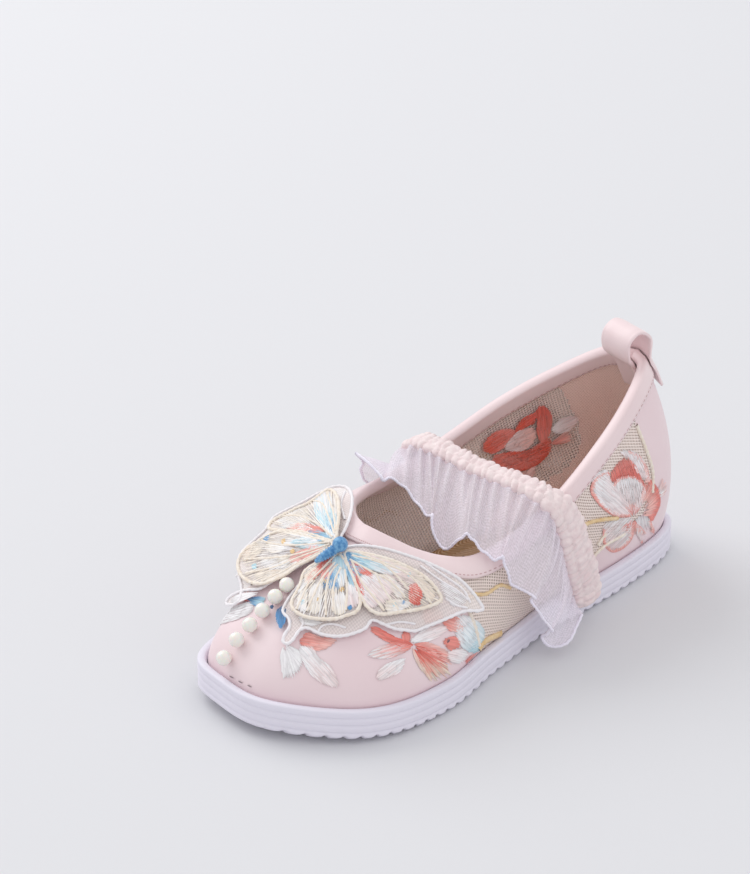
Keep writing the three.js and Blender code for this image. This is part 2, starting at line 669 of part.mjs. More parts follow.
// Sheet in the outline of one pair of wings, at a height over the lowest wing's underside
function wings(outline, height) {
  const root = new THREE.Vector2(WING_ROOT * LENGTH, 0);
  const rings = [];
  const sheet = (face) => {
    const list = [];
    for (let k = 1; k <= WING_RINGS; k += 1) {
      list.push(outline.map((row) => {
        const p = root.clone().lerp(
          new THREE.Vector2(row.x * LENGTH, row.y * WING_SPAN), k / WING_RINGS);
        return new THREE.Vector3(p.x, p.y, wingHeight(p.x, p.y) + height + face * WING_THICKNESS);
      }));
    }
    return list;
  };
  rings.push(...sheet(1), ...sheet(0).reverse());
  const corners = rings.flat();
  const n = outline.length;
  const triangles = [];
  const numbers = rings.map((ring, k) => ring.map((_, i) => k * n + i));
  for (let k = 0; k < rings.length - 1; k += 1) bridge(triangles, numbers[k], numbers[k + 1]);
  const base = wingHeight(root.x, root.y) + height;
  corners.push(new THREE.Vector3(root.x, root.y, base + WING_THICKNESS),
    new THREE.Vector3(root.x, root.y, base));
  const topRing = numbers[0];
  const lowRing = numbers[numbers.length - 1];
  for (let i = 0; i < n; i += 1) {
    const j = (i + 1) % n;
    triangles.push([rings.length * n, topRing[j], topRing[i]]);
    triangles.push([rings.length * n + 1, lowRing[i], lowRing[j]]);
  }
  return solid(corners, triangles);
}

// Body: a long bead that lies on the wings
const LAYER = WING_THICKNESS + 0.9;
function butterflyBody() {
  const profile = [];
  const steps = 8;
  for (let i = 0; i <= steps; i += 1) {
    const turn = Math.PI * i / steps;
    profile.push(new THREE.Vector2(
      Math.max(Math.sin(turn), 0) * BODY_WIDTH / 2, -Math.cos(turn) * BODY_LENGTH / 2));
  }
  profile[0].x = 0;
  profile[steps].x = 0;
  const geometry = new THREE.LatheGeometry(profile, 10);
  geometry.rotateZ(-Math.PI / 2);
  return geometry;
}

function pearl() {
  return new THREE.SphereGeometry(PEARL / 2, 10, 6);
}

// Share of the toe's middle rib at a length from the sole's rim
function ribShare(station, length) {
  const curve = rib(station);
  return curve.getUtoTmapping(0, length);
}

const SATIN = { color: 0xecdedf, roughness: 0.42, metalness: 0 };
const LOOKS = {
  outsole: { color: 0xded8e6, roughness: 0.55, metalness: 0 },
  insole: { color: 0xcdb6a4, roughness: 0.9, metalness: 0 },
  upper: SATIN,
  collar_binding: { color: 0xf0dfe0, roughness: 0.38, metalness: 0 },
  heel_pull_loop: { color: 0xeedadb, roughness: 0.4, metalness: 0 },
  instep_strap: { color: 0xf0d3d4, roughness: 0.6, metalness: 0 },
  strap_ruffle: { color: 0xe6def0, roughness: 0.7, metalness: 0 },
  butterfly_under_wings: { color: 0xf2ecec, roughness: 0.7, metalness: 0 },
  butterfly_upper_wings: { color: 0xf0dcc4, roughness: 0.6, metalness: 0 },
  butterfly_body: { color: 0x5b93c4, roughness: 0.5, metalness: 0 },
  pearl: { color: 0xf3efe6, roughness: 0.22, metalness: 0 },
};

const shoe = new THREE.Group();

function add(name, geometry, look) {
  const mesh = new THREE.Mesh(geometry, new THREE.MeshStandardMaterial(look));
  mesh.name = name;
  shoe.add(mesh);
  return mesh;
}

add('outsole', outsole(), LOOKS.outsole);
add('insole', insole(), LOOKS.insole);
add('upper', upper(), LOOKS.upper);
add('collar_binding', collarBinding(), LOOKS.collar_binding);
add('heel_pull_loop', heelPullLoop(), LOOKS.heel_pull_loop);
add('instep_strap', instepStrap(), LOOKS.instep_strap);
add('strap_ruffle', strapRuffle(), LOOKS.strap_ruffle);
add('butterfly_under_wings', wings(UNDER_WINGS, 0), LOOKS.butterfly_under_wings);
add('butterfly_upper_wings', wings(UPPER_WINGS, LAYER), LOOKS.butterfly_upper_wings);

const body = add('butterfly_body', butterflyBody(), LOOKS.butterfly_body);
const bodyX = (WING_ROOT - 0.01) * LENGTH;
const slope = 2 * WING_BEND * (bodyX - WING_CREST_X);
body.position.set(bodyX, 0, wingHeight(bodyX, 0) + 2 * LAYER + BODY_WIDTH / 2);
body.rotation.y = Math.atan(slope);

for (let i = 0; i < PEARL_COUNT; i += 1) {
  const run = RIM_HEIGHT - UPPER_FOOT + FIRST_PEARL + i * PEARL_PITCH;
  const v = ribShare(1, run);
  const mesh = add(`pearl_${i + 1}`, pearl(), LOOKS.pearl);
  mesh.position.copy(offsetPoint(1, v, PEARL / 2 + GAP));
}

export default shoe;
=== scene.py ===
# %% [markdown]
# An embroidered strap shoe for a small child. The rigid model was made first and is loaded
# here as a frame: every soft piece of this lesson takes the place of one of its solids. The
# real shoe is satin, net, organza and thread over a moulded rubber cup, so this lesson is
# about cloth: sheets that follow a surface, gathers, cords and thousands of stitches.

# %% Load the frame
import math
import random
import bmesh
import bpy
import numpy as np
from mathutils import Matrix, Vector
from mathutils.bvhtree import BVHTree


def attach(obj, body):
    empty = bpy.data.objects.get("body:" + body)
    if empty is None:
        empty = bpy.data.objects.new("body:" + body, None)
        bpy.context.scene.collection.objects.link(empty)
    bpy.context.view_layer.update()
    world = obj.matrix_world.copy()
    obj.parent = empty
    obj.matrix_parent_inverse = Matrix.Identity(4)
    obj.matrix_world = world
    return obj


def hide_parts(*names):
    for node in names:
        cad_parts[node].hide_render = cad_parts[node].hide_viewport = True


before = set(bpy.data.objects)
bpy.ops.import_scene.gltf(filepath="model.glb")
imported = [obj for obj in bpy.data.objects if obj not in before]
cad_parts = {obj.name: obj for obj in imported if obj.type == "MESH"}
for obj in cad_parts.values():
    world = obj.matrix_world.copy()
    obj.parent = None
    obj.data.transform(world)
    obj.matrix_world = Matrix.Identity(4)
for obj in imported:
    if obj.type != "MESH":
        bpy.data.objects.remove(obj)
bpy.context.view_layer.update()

# %% [markdown]
# The sizes below are those of the model, in millimetres. A shoe has few straight lines, so
# its forms are held in short tables of sections, and one smooth curve runs through each
# column. +X points to the toe, +Y to the outer side of this left foot, and +Z up.

# %% Sizes of the shoe
MM = 0.001
LENGTH, BALL_WIDTH, HEEL_HEIGHT, INSTEP_HEIGHT, GAP = 186, 76, 73, 48.2, 0.3
FLOOR_HEIGHT, RIM_HEIGHT, RIM_WALL, RIM_TOP_WALL = 8, 11, 3.3, 2.2
TREAD_PITCH, TREAD_DEPTH, LOWER_INSET, TOE_SPRING, ARCH_LIFT = 4.6, 1.3, 1.8, 3.5, 1
WALL, TAPE_WIDTH, TAPE_THICKNESS = 1.6, 6.5, 0.8
INSOLE_THICKNESS, INSOLE_BEVEL = 2.5, 1
LOOP_WIDTH, LOOP_THICKNESS, LOOP_SEWN, LOOP_RISE = 14, 1.6, 13, 13.5
STRAP_WIDTH, STRAP_CROWN_WIDTH, STRAP_THICKNESS, STRAP_RISE = 11.5, 8.5, 4.6, 5
STRAP_FOLD_DEPTH = 0.6
FRILL_DEPTH = 22
WING_CREST, WING_CREST_X, WING_BEND = 51, 20, 0.0074
WING_DROOP, WING_DROOP_INNER, WING_GAP, LAYER = 0.0150, 0.0040, 0.9, 1.7
WING_ROOT = 0.262 * LENGTH
BODY_LENGTH, BODY_WIDTH = 13, 4.4
PEARL, PEARL_COUNT, PEARL_PITCH, FIRST_PEARL = 5, 6, 6.4, 6.4
END_ROUNDING = 0.53
UPPER_INSET = RIM_WALL + GAP
UPPER_FOOT = FLOOR_HEIGHT + GAP
INSOLE_INSET = UPPER_INSET + WALL + GAP


def table(names, *rows):
    """A table as one array for each named column."""
    return dict(zip(names.split(), np.array(rows, float).T))


PLAN = table("at outer inner",
             (0, .355, .342), (.15, .362, .349), (.40, .403, .352), (.55, .493, .380),
             (.68, .612, .408), (.85, .671, .400), (1, .500, .375))
RIBS = table("at x y rise innerX innerY innerRise out up reach drop",
             (0, -.441, 0, 1, -.441, 0, 1, .080, .31, .161, .325),
             (.10, -.419, .107, .980, -.414, .128, .960, .067, .31, .121, .310),
             (.20, -.333, .235, .758, -.333, .268, .617, .054, .31, .067, .310),
             (.29, -.237, .322, .476, -.237, .336, .335, .054, .29, .047, .310),
             (.375, -.129, .362, .073, -.129, .362, .032, .054, .31, .054, .310),
             (.46, -.022, .356, -.250, -.032, .356, -.149, .054, .33, .081, .270),
             (.53, .043, .322, -.391, .027, .322, -.149, .054, .37, .107, .200),
             (.61, .091, .268, -.351, .091, .275, -.109, .060, .39, .148, .110),
             (.70, .132, .201, -.230, .134, .215, -.048, .054, .38, .201, .090),
             (.79, .161, .128, -.089, .161, .141, -.008, .040, .38, .255, .150),
             (.89, .177, .060, -.016, .177, .067, 0, .026, .39, .309, .200),
             (1, .183, 0, 0, .183, 0, 0, .020, .39, .322, .270))
print("sections of the upper:", len(RIBS["at"]))

# %% [markdown]
# The outline of the sole is a smooth curve through the table, closed round both ends. A
# station runs from 0 at the heel to 1 at the toe by the outer side, and on to 2 by the
# inner side. A rib of the upper is one curve from the sole to the collar at a station, and
# all ribs together are the surface that the embroidery lies on.


# %% Surface of the upper
def smooth(rows, key, name, at):
    """Value of one column between its rows, on a smooth curve."""
    keys, values = rows[key], rows[name]
    i = np.searchsorted(keys[1:-1], at)
    before, after = np.maximum(i - 1, 0), np.minimum(i + 2, len(keys) - 1)
    span = keys[i + 1] - keys[i]
    t = (at - keys[i]) / span
    slope_a = (values[i + 1] - values[before]) / (keys[i + 1] - keys[before]) * span
    slope_b = (values[after] - values[i]) / (keys[after] - keys[i]) * span
    t2, t3 = t * t, t ** 3
    return ((2 * t3 - 3 * t2 + 1) * values[i] + (t3 - 2 * t2 + t) * slope_a
            + (3 * t2 - 2 * t3) * values[i + 1] + (t3 - t2) * slope_b)


def side_line(side, steps=600):
    turn = np.pi * (1 - np.cos(np.linspace(0, np.pi, steps + 1))) / 2
    at = (1 - np.cos(turn)) / 2
    half = smooth(PLAN, "at", "outer" if side > 0 else "inner", at) * BALL_WIDTH
    y = side * half * np.abs(np.sin(turn)) ** END_ROUNDING
    y[0] = y[-1] = 0
    points = np.stack([(at - 0.5) * LENGTH, y], 1)
    run = np.append(0, np.cumsum(np.linalg.norm(np.diff(points, axis=0), axis=1)))
    return points, run


SIDE_LINES = side_line(1), side_line(-1)


def outline(station):
    s = np.mod(station, 2)
    share = np.where(s <= 1, s, 2 - s)
    found = np.empty(s.shape + (2,))
    for (points, run), mask in zip(SIDE_LINES, (s <= 1, s > 1)):
        for axis in (0, 1):
            found[mask, axis] = np.interp(share[mask] * run[-1], run, points[:, axis])
    return found


def unit(vectors):
    return vectors / np.linalg.norm(vectors, axis=-1, keepdims=True)


def edge(station, inset):
    """Point of the sole's outline moved in, and the direction out of the sole."""
    station = np.asarray(station, float)
    along = unit(outline(station + 0.012) - outline(station - 0.012))
    out = np.stack([-along[..., 1], along[..., 0]], -1)
    return outline(station) - out * np.asarray(inset)[..., None], out


def lift(x):
    spring = np.maximum((x - 0.11 * LENGTH) / (0.39 * LENGTH), 0)
    arch = np.clip((x + 0.2 * LENGTH) / (0.17 * LENGTH), 0, 1)
    return TOE_SPRING * spring ** 2 + ARCH_LIFT * np.sin(np.pi * arch) ** 2


def rib(station):
    """Four control points of the rib's curve for each station."""
    s = np.mod(np.asarray(station, float), 2)
    outer = s <= 1
    at = np.where(outer, s, 2 - s)
    get = {name: smooth(RIBS, "at", name, at) for name in RIBS if name != "at"}
    foot, out = edge(s, UPPER_INSET)
    bottom = np.concatenate([foot, (lift(foot[..., 0]) + UPPER_FOOT)[..., None]], -1)
    rise = np.where(outer, get["rise"], get["innerRise"])
    top = np.stack([np.where(outer, get["x"], get["innerX"]) * LENGTH,
                    np.where(outer, get["y"], -get["innerY"]) * BALL_WIDTH,
                    INSTEP_HEIGHT + (HEEL_HEIGHT - INSTEP_HEIGHT) * rise], -1)
    height = top[..., 2] - bottom[..., 2]
    outward = np.concatenate([out, np.zeros(out.shape[:-1] + (1,))], -1)
    away = (bottom - top) * (1, 1, 0) + outward * BALL_WIDTH * 0.1
    away = unit(away)
    low = bottom + outward * (get["out"] * BALL_WIDTH)[..., None]
    low[..., 2] += get["up"] * height
    high = top + away * (get["reach"] * BALL_WIDTH)[..., None]
    high[..., 2] -= get["drop"] * height
    return bottom, low, high, top


def on_rib(controls, v):
    a, b, c, d = controls
    v = np.asarray(v, float)[..., None]
    w = 1 - v
    point = a * w ** 3 + 3 * b * w * w * v + 3 * c * w * v * v + d * v ** 3
    tangent = 3 * (b - a) * w * w + 6 * (c - b) * w * v + 3 * (d - c) * v * v
    return point, unit(tangent)


def surface(station, v):
    """Point, upward direction and outward normal of the upper."""
    station, v = np.broadcast_arrays(np.asarray(station, float), np.asarray(v, float))
    point, up = on_rib(rib(station), v)
    round_ = on_rib(rib(station + 0.01), v)[0] - on_rib(rib(station - 0.01), v)[0]
    return point, up, unit(np.cross(up, round_))


def offset(station, v, distance):
    point, _, normal = surface(station, v)
    return point + normal * np.asarray(distance, float)[..., None]


def tape_start(station, width):
    """Share of the rib at a length below the collar's edge."""
    _, _, high, top = rib(station)
    return 1 - width / (3 * np.linalg.norm(top - high, axis=-1))


print("collar at the heel:", np.round(surface([0.0], [1.0])[0], 1))

# %% [markdown]
# Most pieces of a shoe are sheets: they start as a flat grid whose corners are then placed
# on a form. A grid keeps even faces and gives a clean map of its own length and width, which
# the weave and the stitches follow later. A tube is the same grid rolled round a line.


# %% Sheets, tubes and finished pieces
def add_sheet(bm, columns, rows, place, chart=(1, 1), material=0):
    """Grid of columns by rows in bm. place turns shares (u, v) into points, chart into the
    map of the cloth in millimetres, and material into the number of a finish."""
    uv = bm.loops.layers.uv.verify()
    made = bmesh.ops.create_grid(bm, x_segments=columns, y_segments=rows, size=0.5)["verts"]
    flat = np.array([vert.co[:2] for vert in made]) + 0.5
    maps = chart(*flat.T) if callable(chart) else flat * chart
    number = {vert: k for k, vert in enumerate(made)}
    faces = list({face: None for vert in made for face in vert.link_faces})
    for face in faces:
        face.smooth = True
        for loop in face.loops:
            loop[uv].uv = maps[number[loop.vert]]
    if callable(material):
        middles = np.array([flat[[number[v] for v in face.verts]].mean(0) for face in faces])
        for face, index in zip(faces, material(*middles.T)):
            face.material_index = int(index)
    else:
        for face in faces:
            face.material_index = material
    for vert, point in zip(made, place(*flat.T)):
        vert.co = point
    return made


def mesh_object(name, bm, finishes, turn=True, merge=0.01):
    """Closes the seams of bm, turns its faces out, and makes an object in metres."""
    if merge:
        bmesh.ops.remove_doubles(bm, verts=bm.verts, dist=merge)
    if turn:
        bmesh.ops.recalc_face_normals(bm, faces=bm.faces)
    bmesh.ops.scale(bm, vec=(MM, MM, MM), verts=bm.verts)
    mesh = bpy.data.meshes.new(name)
    bm.to_mesh(mesh)
    bm.free()
    obj = bpy.data.objects.new(name, mesh)
    bpy.context.collection.objects.link(obj)
    for finish in finishes:
        mesh.materials.append(finish.material)
    print(name, len(mesh.vertices), "corners")
    return obj


def dress(obj, slot, *nodes):
    """The piece moves with the shoe and stands for its nodes. slot is not used."""
    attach(obj, "root")
    if nodes:
        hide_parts(*nodes)
    return obj


def finish_with(obj, kind, **settings):
    """A modifier of the given kind, with the given settings."""
    modifier = obj.modifiers.new(kind.title(), kind)
    for key, value in settings.items():
        setattr(modifier, key, value)
    return modifier


def along(points):
    """Shares of the length at the points, and the whole length."""
    run = np.append(0, np.cumsum(np.linalg.norm(np.diff(points, axis=0), axis=1)))
    return run / run[-1], run[-1]


def resample(points, count):
    share, _ = along(points)
    want = np.linspace(0, 1, count)
    return np.stack([np.interp(want, share, points[:, k]) for k in range(3)], 1)


def tube(bm, line, normals, width, height=None, corners=6, twist=0, pitch=1.6, depth=0.16,
         taper=False, material=0):
    """Cord along a line. normals point off the cloth; twist winds strands round it."""
    height = height or width
    line = np.asarray(line, float)
    tangent = unit(np.gradient(line, axis=0))
    normal = unit(normals - tangent * np.sum(normals * tangent, 1, keepdims=True))
    side = np.cross(tangent, normal)
    _, length = along(line)
    count = len(line) - 1

    def place(u, v):
        k = np.clip(np.round(u * count).astype(int), 0, count)
        turn = 2 * np.pi * v
        swell = 1 + depth * np.sin(twist * turn + 2 * np.pi * u * length / pitch) * bool(twist)
        if taper:
            swell = swell * np.sqrt(np.clip(1 - np.abs(2 * u - 1) ** 6, 0.02, 1))
        return (line[k] + side[k] * (np.cos(turn) * width / 2 * swell)[:, None]
                + normal[k] * (np.sin(turn) * height / 2 * swell)[:, None])

    return add_sheet(bm, count, corners, place, (length, width * 3), material)


# %% [markdown]
# Materials are built from nodes. A small class wraps a node's output so that the pattern of
# a cloth can be written as plain arithmetic: each operator adds one Math node.


# %% Arithmetic on node sockets
class Value:
    def __init__(self, finish, socket):
        self.finish, self.socket = finish, socket

    def math(self, operation, *others):
        inputs = {0: self.socket}
        for k, other in enumerate(others):
            inputs[k + 1] = other
        return self.finish.node("Math", {"operation": operation}, inputs)

    def __add__(self, other):
        return self.math("ADD", other)

    def __sub__(self, other):
        return self.math("SUBTRACT", other)

    def __mul__(self, other):
        return self.math("MULTIPLY", other)

    def __truediv__(self, other):
        return self.math("DIVIDE", other)

    def __pow__(self, other):
        return self.math("POWER", other)

    def __rsub__(self, other):
        return self.math("MULTIPLY", -1).math("ADD", other)

    __radd__, __rmul__ = __add__, __mul__

    def wave(self, period):
        """From 0 to 1 and back once in each period."""
        return (self * (2 * math.pi / period)).math("SINE") * 0.5 + 0.5

    def above(self, edge_, soft=0.1):
        """0 below the edge and 1 above it, with a soft step."""
        return self.finish.node("MapRange", {"interpolation_type": "SMOOTHSTEP"},
                                {"Value": self, "From Min": edge_ - soft,
                                 "From Max": edge_ + soft})


# %% [markdown]
# A finish is one material with one Principled shader. Constants are written on the shader's
# own sockets. Patterns are linked. Colours are named as they look on a screen, and turned to
# the linear values that the renderer works in.


# %% One class for every finish
def colour(code):
    parts = [int(code[k:k + 2], 16) / 255 for k in (0, 2, 4)]
    return tuple(c / 12.92 if c <= 0.04045 else ((c + 0.055) / 1.055) ** 2.4
                 for c in parts) + (1,)


class Finish:
    def __init__(self, name, **constants):
        self.material = bpy.data.materials.new(name)
        self.material.use_nodes = True
        self.tree = self.material.node_tree
        self.tree.nodes.clear()
        self.shader = self.tree.nodes.new("ShaderNodeBsdfPrincipled")
        output = self.tree.nodes.new("ShaderNodeOutputMaterial")
        self.tree.links.new(self.shader.outputs[0], output.inputs[0])
        for key, value in constants.items():
            self.feed(self.shader, key.replace("_", " "), value)

    def feed(self, node, key, value):
        socket = node.inputs[key]
        value = getattr(value, "socket", value)
        if isinstance(value, bpy.types.NodeSocket):
            self.tree.links.new(value, socket)
        else:
            socket.default_value = colour(value) if isinstance(value, str) else value

    def node(self, kind, settings=None, sockets=None, output=0):
        made = self.tree.nodes.new("ShaderNode" + kind)
        for key, value in (settings or {}).items():
            setattr(made, key, value)
        for key, value in (sockets or {}).items():
            self.feed(made, key, value)
        return Value(self, made.outputs[output])

    def mix(self, mask, first, second):
        made = self.tree.nodes.new("ShaderNodeMix")
        made.data_type = "RGBA"
        for key, value in ((0, mask), (6, first), (7, second)):
            self.feed(made, key, value)
        return Value(self, made.outputs[2])

    def place(self, source="Object"):
        return self.node("TexCoord", None, None, source)

    def axes(self, source="UV"):
        """The two or three coordinates, UV in millimetres."""
        split = self.tree.nodes.new("ShaderNodeSeparateXYZ")
        self.feed(split, 0, self.place(source))
        return [Value(self, out) for out in split.outputs]

    def noise(self, scale, detail=3, source="Object"):
        return self.node("TexNoise", None, {"Vector": self.place(source), "Scale": scale,
                                            "Detail": detail})

    def bump(self, height, distance, strength=1.0):
        self.feed(self.shader, "Normal", self.node(
            "Bump", None, {"Height": height, "Distance": distance * MM,
                           "Strength": strength}))


def weave(finish, pitch, source="UV"):
    """Over and under threads of a plain cloth, from 0 in the pores to 1 on the threads."""
    u, v = finish.axes(source)[:2]
    return u.wave(pitch) * 0.5 + v.wave(pitch) * 0.5


print("finishes can be built")

# %% [markdown]
# The camera comes early in this lesson, because the embroidery is placed with its help. A
# maker who copies a flower from a picture needs to know where on the shoe each point of the
# picture lies. The camera's place, turn and lens are known, so a line from its eye through a
# point of the picture can be followed until it meets the cloth.

# %% Camera
WIDE, HIGH = 750, 874
AZIMUTH, ELEVATION, ROLL = math.radians(140.4), math.radians(31.8), math.radians(0.96)
LOOK_AT, DISTANCE, SCALE, AXIS_AT = np.array((0, 0, 20.0)), 1114, 3.04, (444.1, 566.6)

BACK = np.array((math.sin(AZIMUTH) * math.cos(ELEVATION),
                 -math.cos(AZIMUTH) * math.cos(ELEVATION), math.sin(ELEVATION)))
LEVEL = np.array((math.cos(AZIMUTH), math.sin(AZIMUTH), 0))
OVER = np.cross(BACK, LEVEL)
RIGHT = math.cos(ROLL) * LEVEL + math.sin(ROLL) * OVER
UP = -math.sin(ROLL) * LEVEL + math.cos(ROLL) * OVER
EYE = LOOK_AT + DISTANCE * BACK

lens = bpy.data.cameras.new("camera")
lens.sensor_width = 36
lens.lens = SCALE * DISTANCE * lens.sensor_width / HIGH
lens.shift_x = (WIDE / 2 - AXIS_AT[0]) / HIGH
lens.shift_y = (AXIS_AT[1] - HIGH / 2) / HIGH
lens.clip_end = 20
camera = bpy.data.objects.new("camera", lens)
turn = Matrix((RIGHT, UP, BACK)).transposed()
camera.matrix_world = Matrix.Translation(Vector(EYE * MM)) @ turn.to_4x4()
bpy.context.collection.objects.link(camera)
bpy.context.scene.camera = camera


def sight(x, y, mirrored=False):
    """Line from the eye through a point of the picture, or its mirror image across the shoe."""
    way = -BACK + (RIGHT * (x - AXIS_AT[0]) - UP * (y - AXIS_AT[1])) / (SCALE * DISTANCE)
    flip = (1, -1, 1) if mirrored else (1, 1, 1)
    return EYE * flip, unit(way * flip)


print("lens in millimetres:", round(lens.lens, 1))

# %% [markdown]
# A canvas is any surface that something is sewn on. It answers one question: where does a
# line of sight meet it, and which way does the cloth face there? A point that falls just
# beside the cloth takes the nearest place on it.


# %% Canvas
class Canvas:
    def __init__(self, points, columns, rows, closed=False, inside=False):
        """points: (columns + 1) by (rows + 1) places."""
        faces = []
        for i in range(columns):
            for j in range(rows):
                a = i * (rows + 1) + j
                faces.append((a, a + rows + 1, a + rows + 2, a + 1))
        self.tree = BVHTree.FromPolygons(points.tolist(), faces)
        self.inside = inside

    def at(self, x, y, mirrored=False):
        eye, way = sight(x, y, mirrored)
        place, normal, _, _ = self.tree.ray_cast(Vector(eye), Vector(way))
        if place is None:
            middle = Vector(eye) + Vector(way) * (DISTANCE - 20)
            best = None
            for k in range(-14, 15):
                probe = middle + Vector(way) * (6 * k)
                found = self.tree.find_nearest(probe)
                if best is None or found[3] < best[3]:
                    best = found
            place, normal = best[0], best[1]
        normal = np.array(normal)
        if np.dot(normal, way) > 0:
            normal = -normal
        return np.array(place), normal

    def line(self, points, mirrored=False, step=1.0):
        """Places and normals along a run of picture points, a smooth curve through them."""
        points = rounded(np.array(points, float), step)
        found = [self.at(x, y, mirrored) for x, y in points]
        return np.array([f[0] for f in found]), np.array([f[1] for f in found])

    def below(self, x, y):
        place, normal, _, _ = self.tree.ray_cast(Vector((x, y, 200)), Vector((0, 0, -1)))
        return (-1e3 if place is None else place[2])


def rounded(points, step):
    """Smooth curve through a few points of the picture, one point in each step."""
    if len(points) < 3:
        count = max(int(np.linalg.norm(points[1] - points[0]) / step), 2)
        t = np.linspace(0, 1, count + 1)[:, None]
        return points[0] * (1 - t) + points[1] * t
    loop = np.allclose(points[0], points[-1])
    before = points[-2:-1] if loop else 2 * points[:1] - points[1:2]
    after = points[1:2] if loop else 2 * points[-1:] - points[-2:-1]
    p = np.concatenate([before, points, after])
    made = []
    for k in range(1, len(p) - 2):
        a, b, c, d = p[k - 1:k + 3]
        count = max(int(np.linalg.norm(c - b) / step), 1)
        for t in np.arange(count) / count:
            made.append(0.5 * (2 * b + (c - a) * t + (2 * a - 5 * b + 4 * c - d) * t * t
                               + (3 * b - a - 3 * c + d) * t ** 3))
    made.append(p[-2])
    return np.array(made)


FINE, LEVELS = 480, 48
GRID_S, GRID_V = np.meshgrid(np.linspace(0, 2, FINE + 1), np.linspace(0, 1, LEVELS + 1),
                             indexing="ij")
CLOTH = surface(GRID_S.ravel(), GRID_V.ravel())[0]
upper_canvas = Canvas(CLOTH, FINE, LEVELS)


def spot(x, y, mirrored=False):
    """Station and share of the rib under a point of the picture."""
    place = upper_canvas.at(x, y, mirrored)[0]
    near = np.argmin(np.sum((CLOTH - place) ** 2, 1))
    return GRID_S.ravel()[near], GRID_V.ravel()[near]


print("station at the first pearl:", spot(223.8, 657.9))

# %% [markdown]
# Colours of the finishes. The satin is a pale pink, the rubber a cool lilac white, the net a
# grey beige. Thread takes its colour from an attribute, since every stitch has its own.

# %% Rubber, satin and tape
rubber = Finish("moulded_rubber", Base_Color="e8e4f0", Roughness=0.5)
rubber.bump(rubber.noise(1400), 0.03, 0.5)

satin = Finish("pink_satin", Roughness=0.4, Sheen_Weight=0.15, Sheen_Roughness=0.4)
cloudy = satin.noise(26, 2)
satin.feed(satin.shader, "Base Color", satin.mix(cloudy.above(0.5, 0.3), "ebd2d6", "f0dcdf"))
satin.bump(satin.noise(30, 2) * 6 + weave(satin, 0.5) * 0.05, 0.12, 0.5)

tape = Finish("folded_tape", Roughness=0.38, Sheen_Weight=0.15)
tape.feed(tape.shader, "Base Color", tape.mix(tape.noise(40).above(0.5, 0.3),
                                              "eed7d9", "f4e0e1"))
tape.bump(tape.noise(160, 2) + weave(tape, 0.5) * 0.04, 0.25, 0.4)

lining = Finish("inside_lining", Roughness=0.9)
u, v = lining.axes()[:2]
dots = (u * 0.7 + v * 0.7).wave(0.9) * (u * 0.7 - v * 0.7).wave(0.9)
lining.feed(lining.shader, "Base Color", lining.mix(dots.above(0.62, 0.2),
                                                    "fae0d7", "e8cabf"))
lining.bump(dots, 0.2, 0.6)
print("plain cloths ready")

# %% [markdown]
# The quarters are see-through net: a grey beige mesh whose small rhombic holes stand in
# slanting rows. The holes are cut with the Alpha socket. Their edge is soft, so they stay
# calm where they are only a pixel or two wide.

# %% Net and organza
net = Finish("open_net", Roughness=0.8)
u, v = net.axes()[:2]
rows_a = (u * 0.94 + v * 0.34).wave(1.15)
rows_b = (u * 0.34 - v * 0.94).wave(0.95)
holes = (rows_a * rows_b).above(0.5, 0.14)
net.feed(net.shader, "Base Color", net.mix(rows_a * rows_b, "f9ebe4", "d8bfb2"))
net.feed(net.shader, "Alpha", 1 - holes * 0.85)
net.bump(rows_a * rows_b * -1, 0.3, 0.8)

organza = Finish("lilac_organza", Roughness=0.6, Sheen_Weight=0.3)
u, v = organza.axes()[:2]
threads = organza.noise(1500, 2) * 0.7 + (u.wave(0.8) ** 2) * 0.15 + (v.wave(0.8) ** 2) * 0.15
organza.feed(organza.shader, "Base Color", "f8f0fb")
organza.feed(organza.shader, "Alpha", threads * 0.5 + 0.38)
organza.bump(threads, 0.12, 0.5)

wing_cloth = Finish("wing_organza", Roughness=0.55, Sheen_Weight=0.2)
x, y, z = wing_cloth.axes("Object")
fine = (x.wave(0.0008) ** 2) * 0.5 + (y.wave(0.0008) ** 2) * 0.5
wing_cloth.feed(wing_cloth.shader, "Base Color", "f8efec")
wing_cloth.feed(wing_cloth.shader, "Alpha", fine * 0.2 + 0.62)
wing_cloth.bump(fine, 0.1, 0.4)

crepe = Finish("ruched_crepe", Roughness=0.7, Sheen_Weight=0.3)
crepe.feed(crepe.shader, "Base Color", crepe.mix(crepe.noise(420).above(0.5, 0.25),
                                                 "ecd6d7", "f4e5e4"))
crepe.bump(crepe.noise(900, 2) + crepe.noise(260, 2), 0.35, 0.8)
print("see-through cloths ready")

# %% [markdown]
# Thread shines along its length, pearls have a clear coat over a soft body, and the foot bed
# is a tan twill. These are small surfaces, but the eye goes to them first.

# %% Threads, cords, pearl and foot bed
thread = Finish("stitch_thread", Roughness=0.42, Sheen_Weight=0.2)
thread.feed(thread.shader, "Base Color",
            thread.node("Attribute", {"attribute_name": "thread"}))

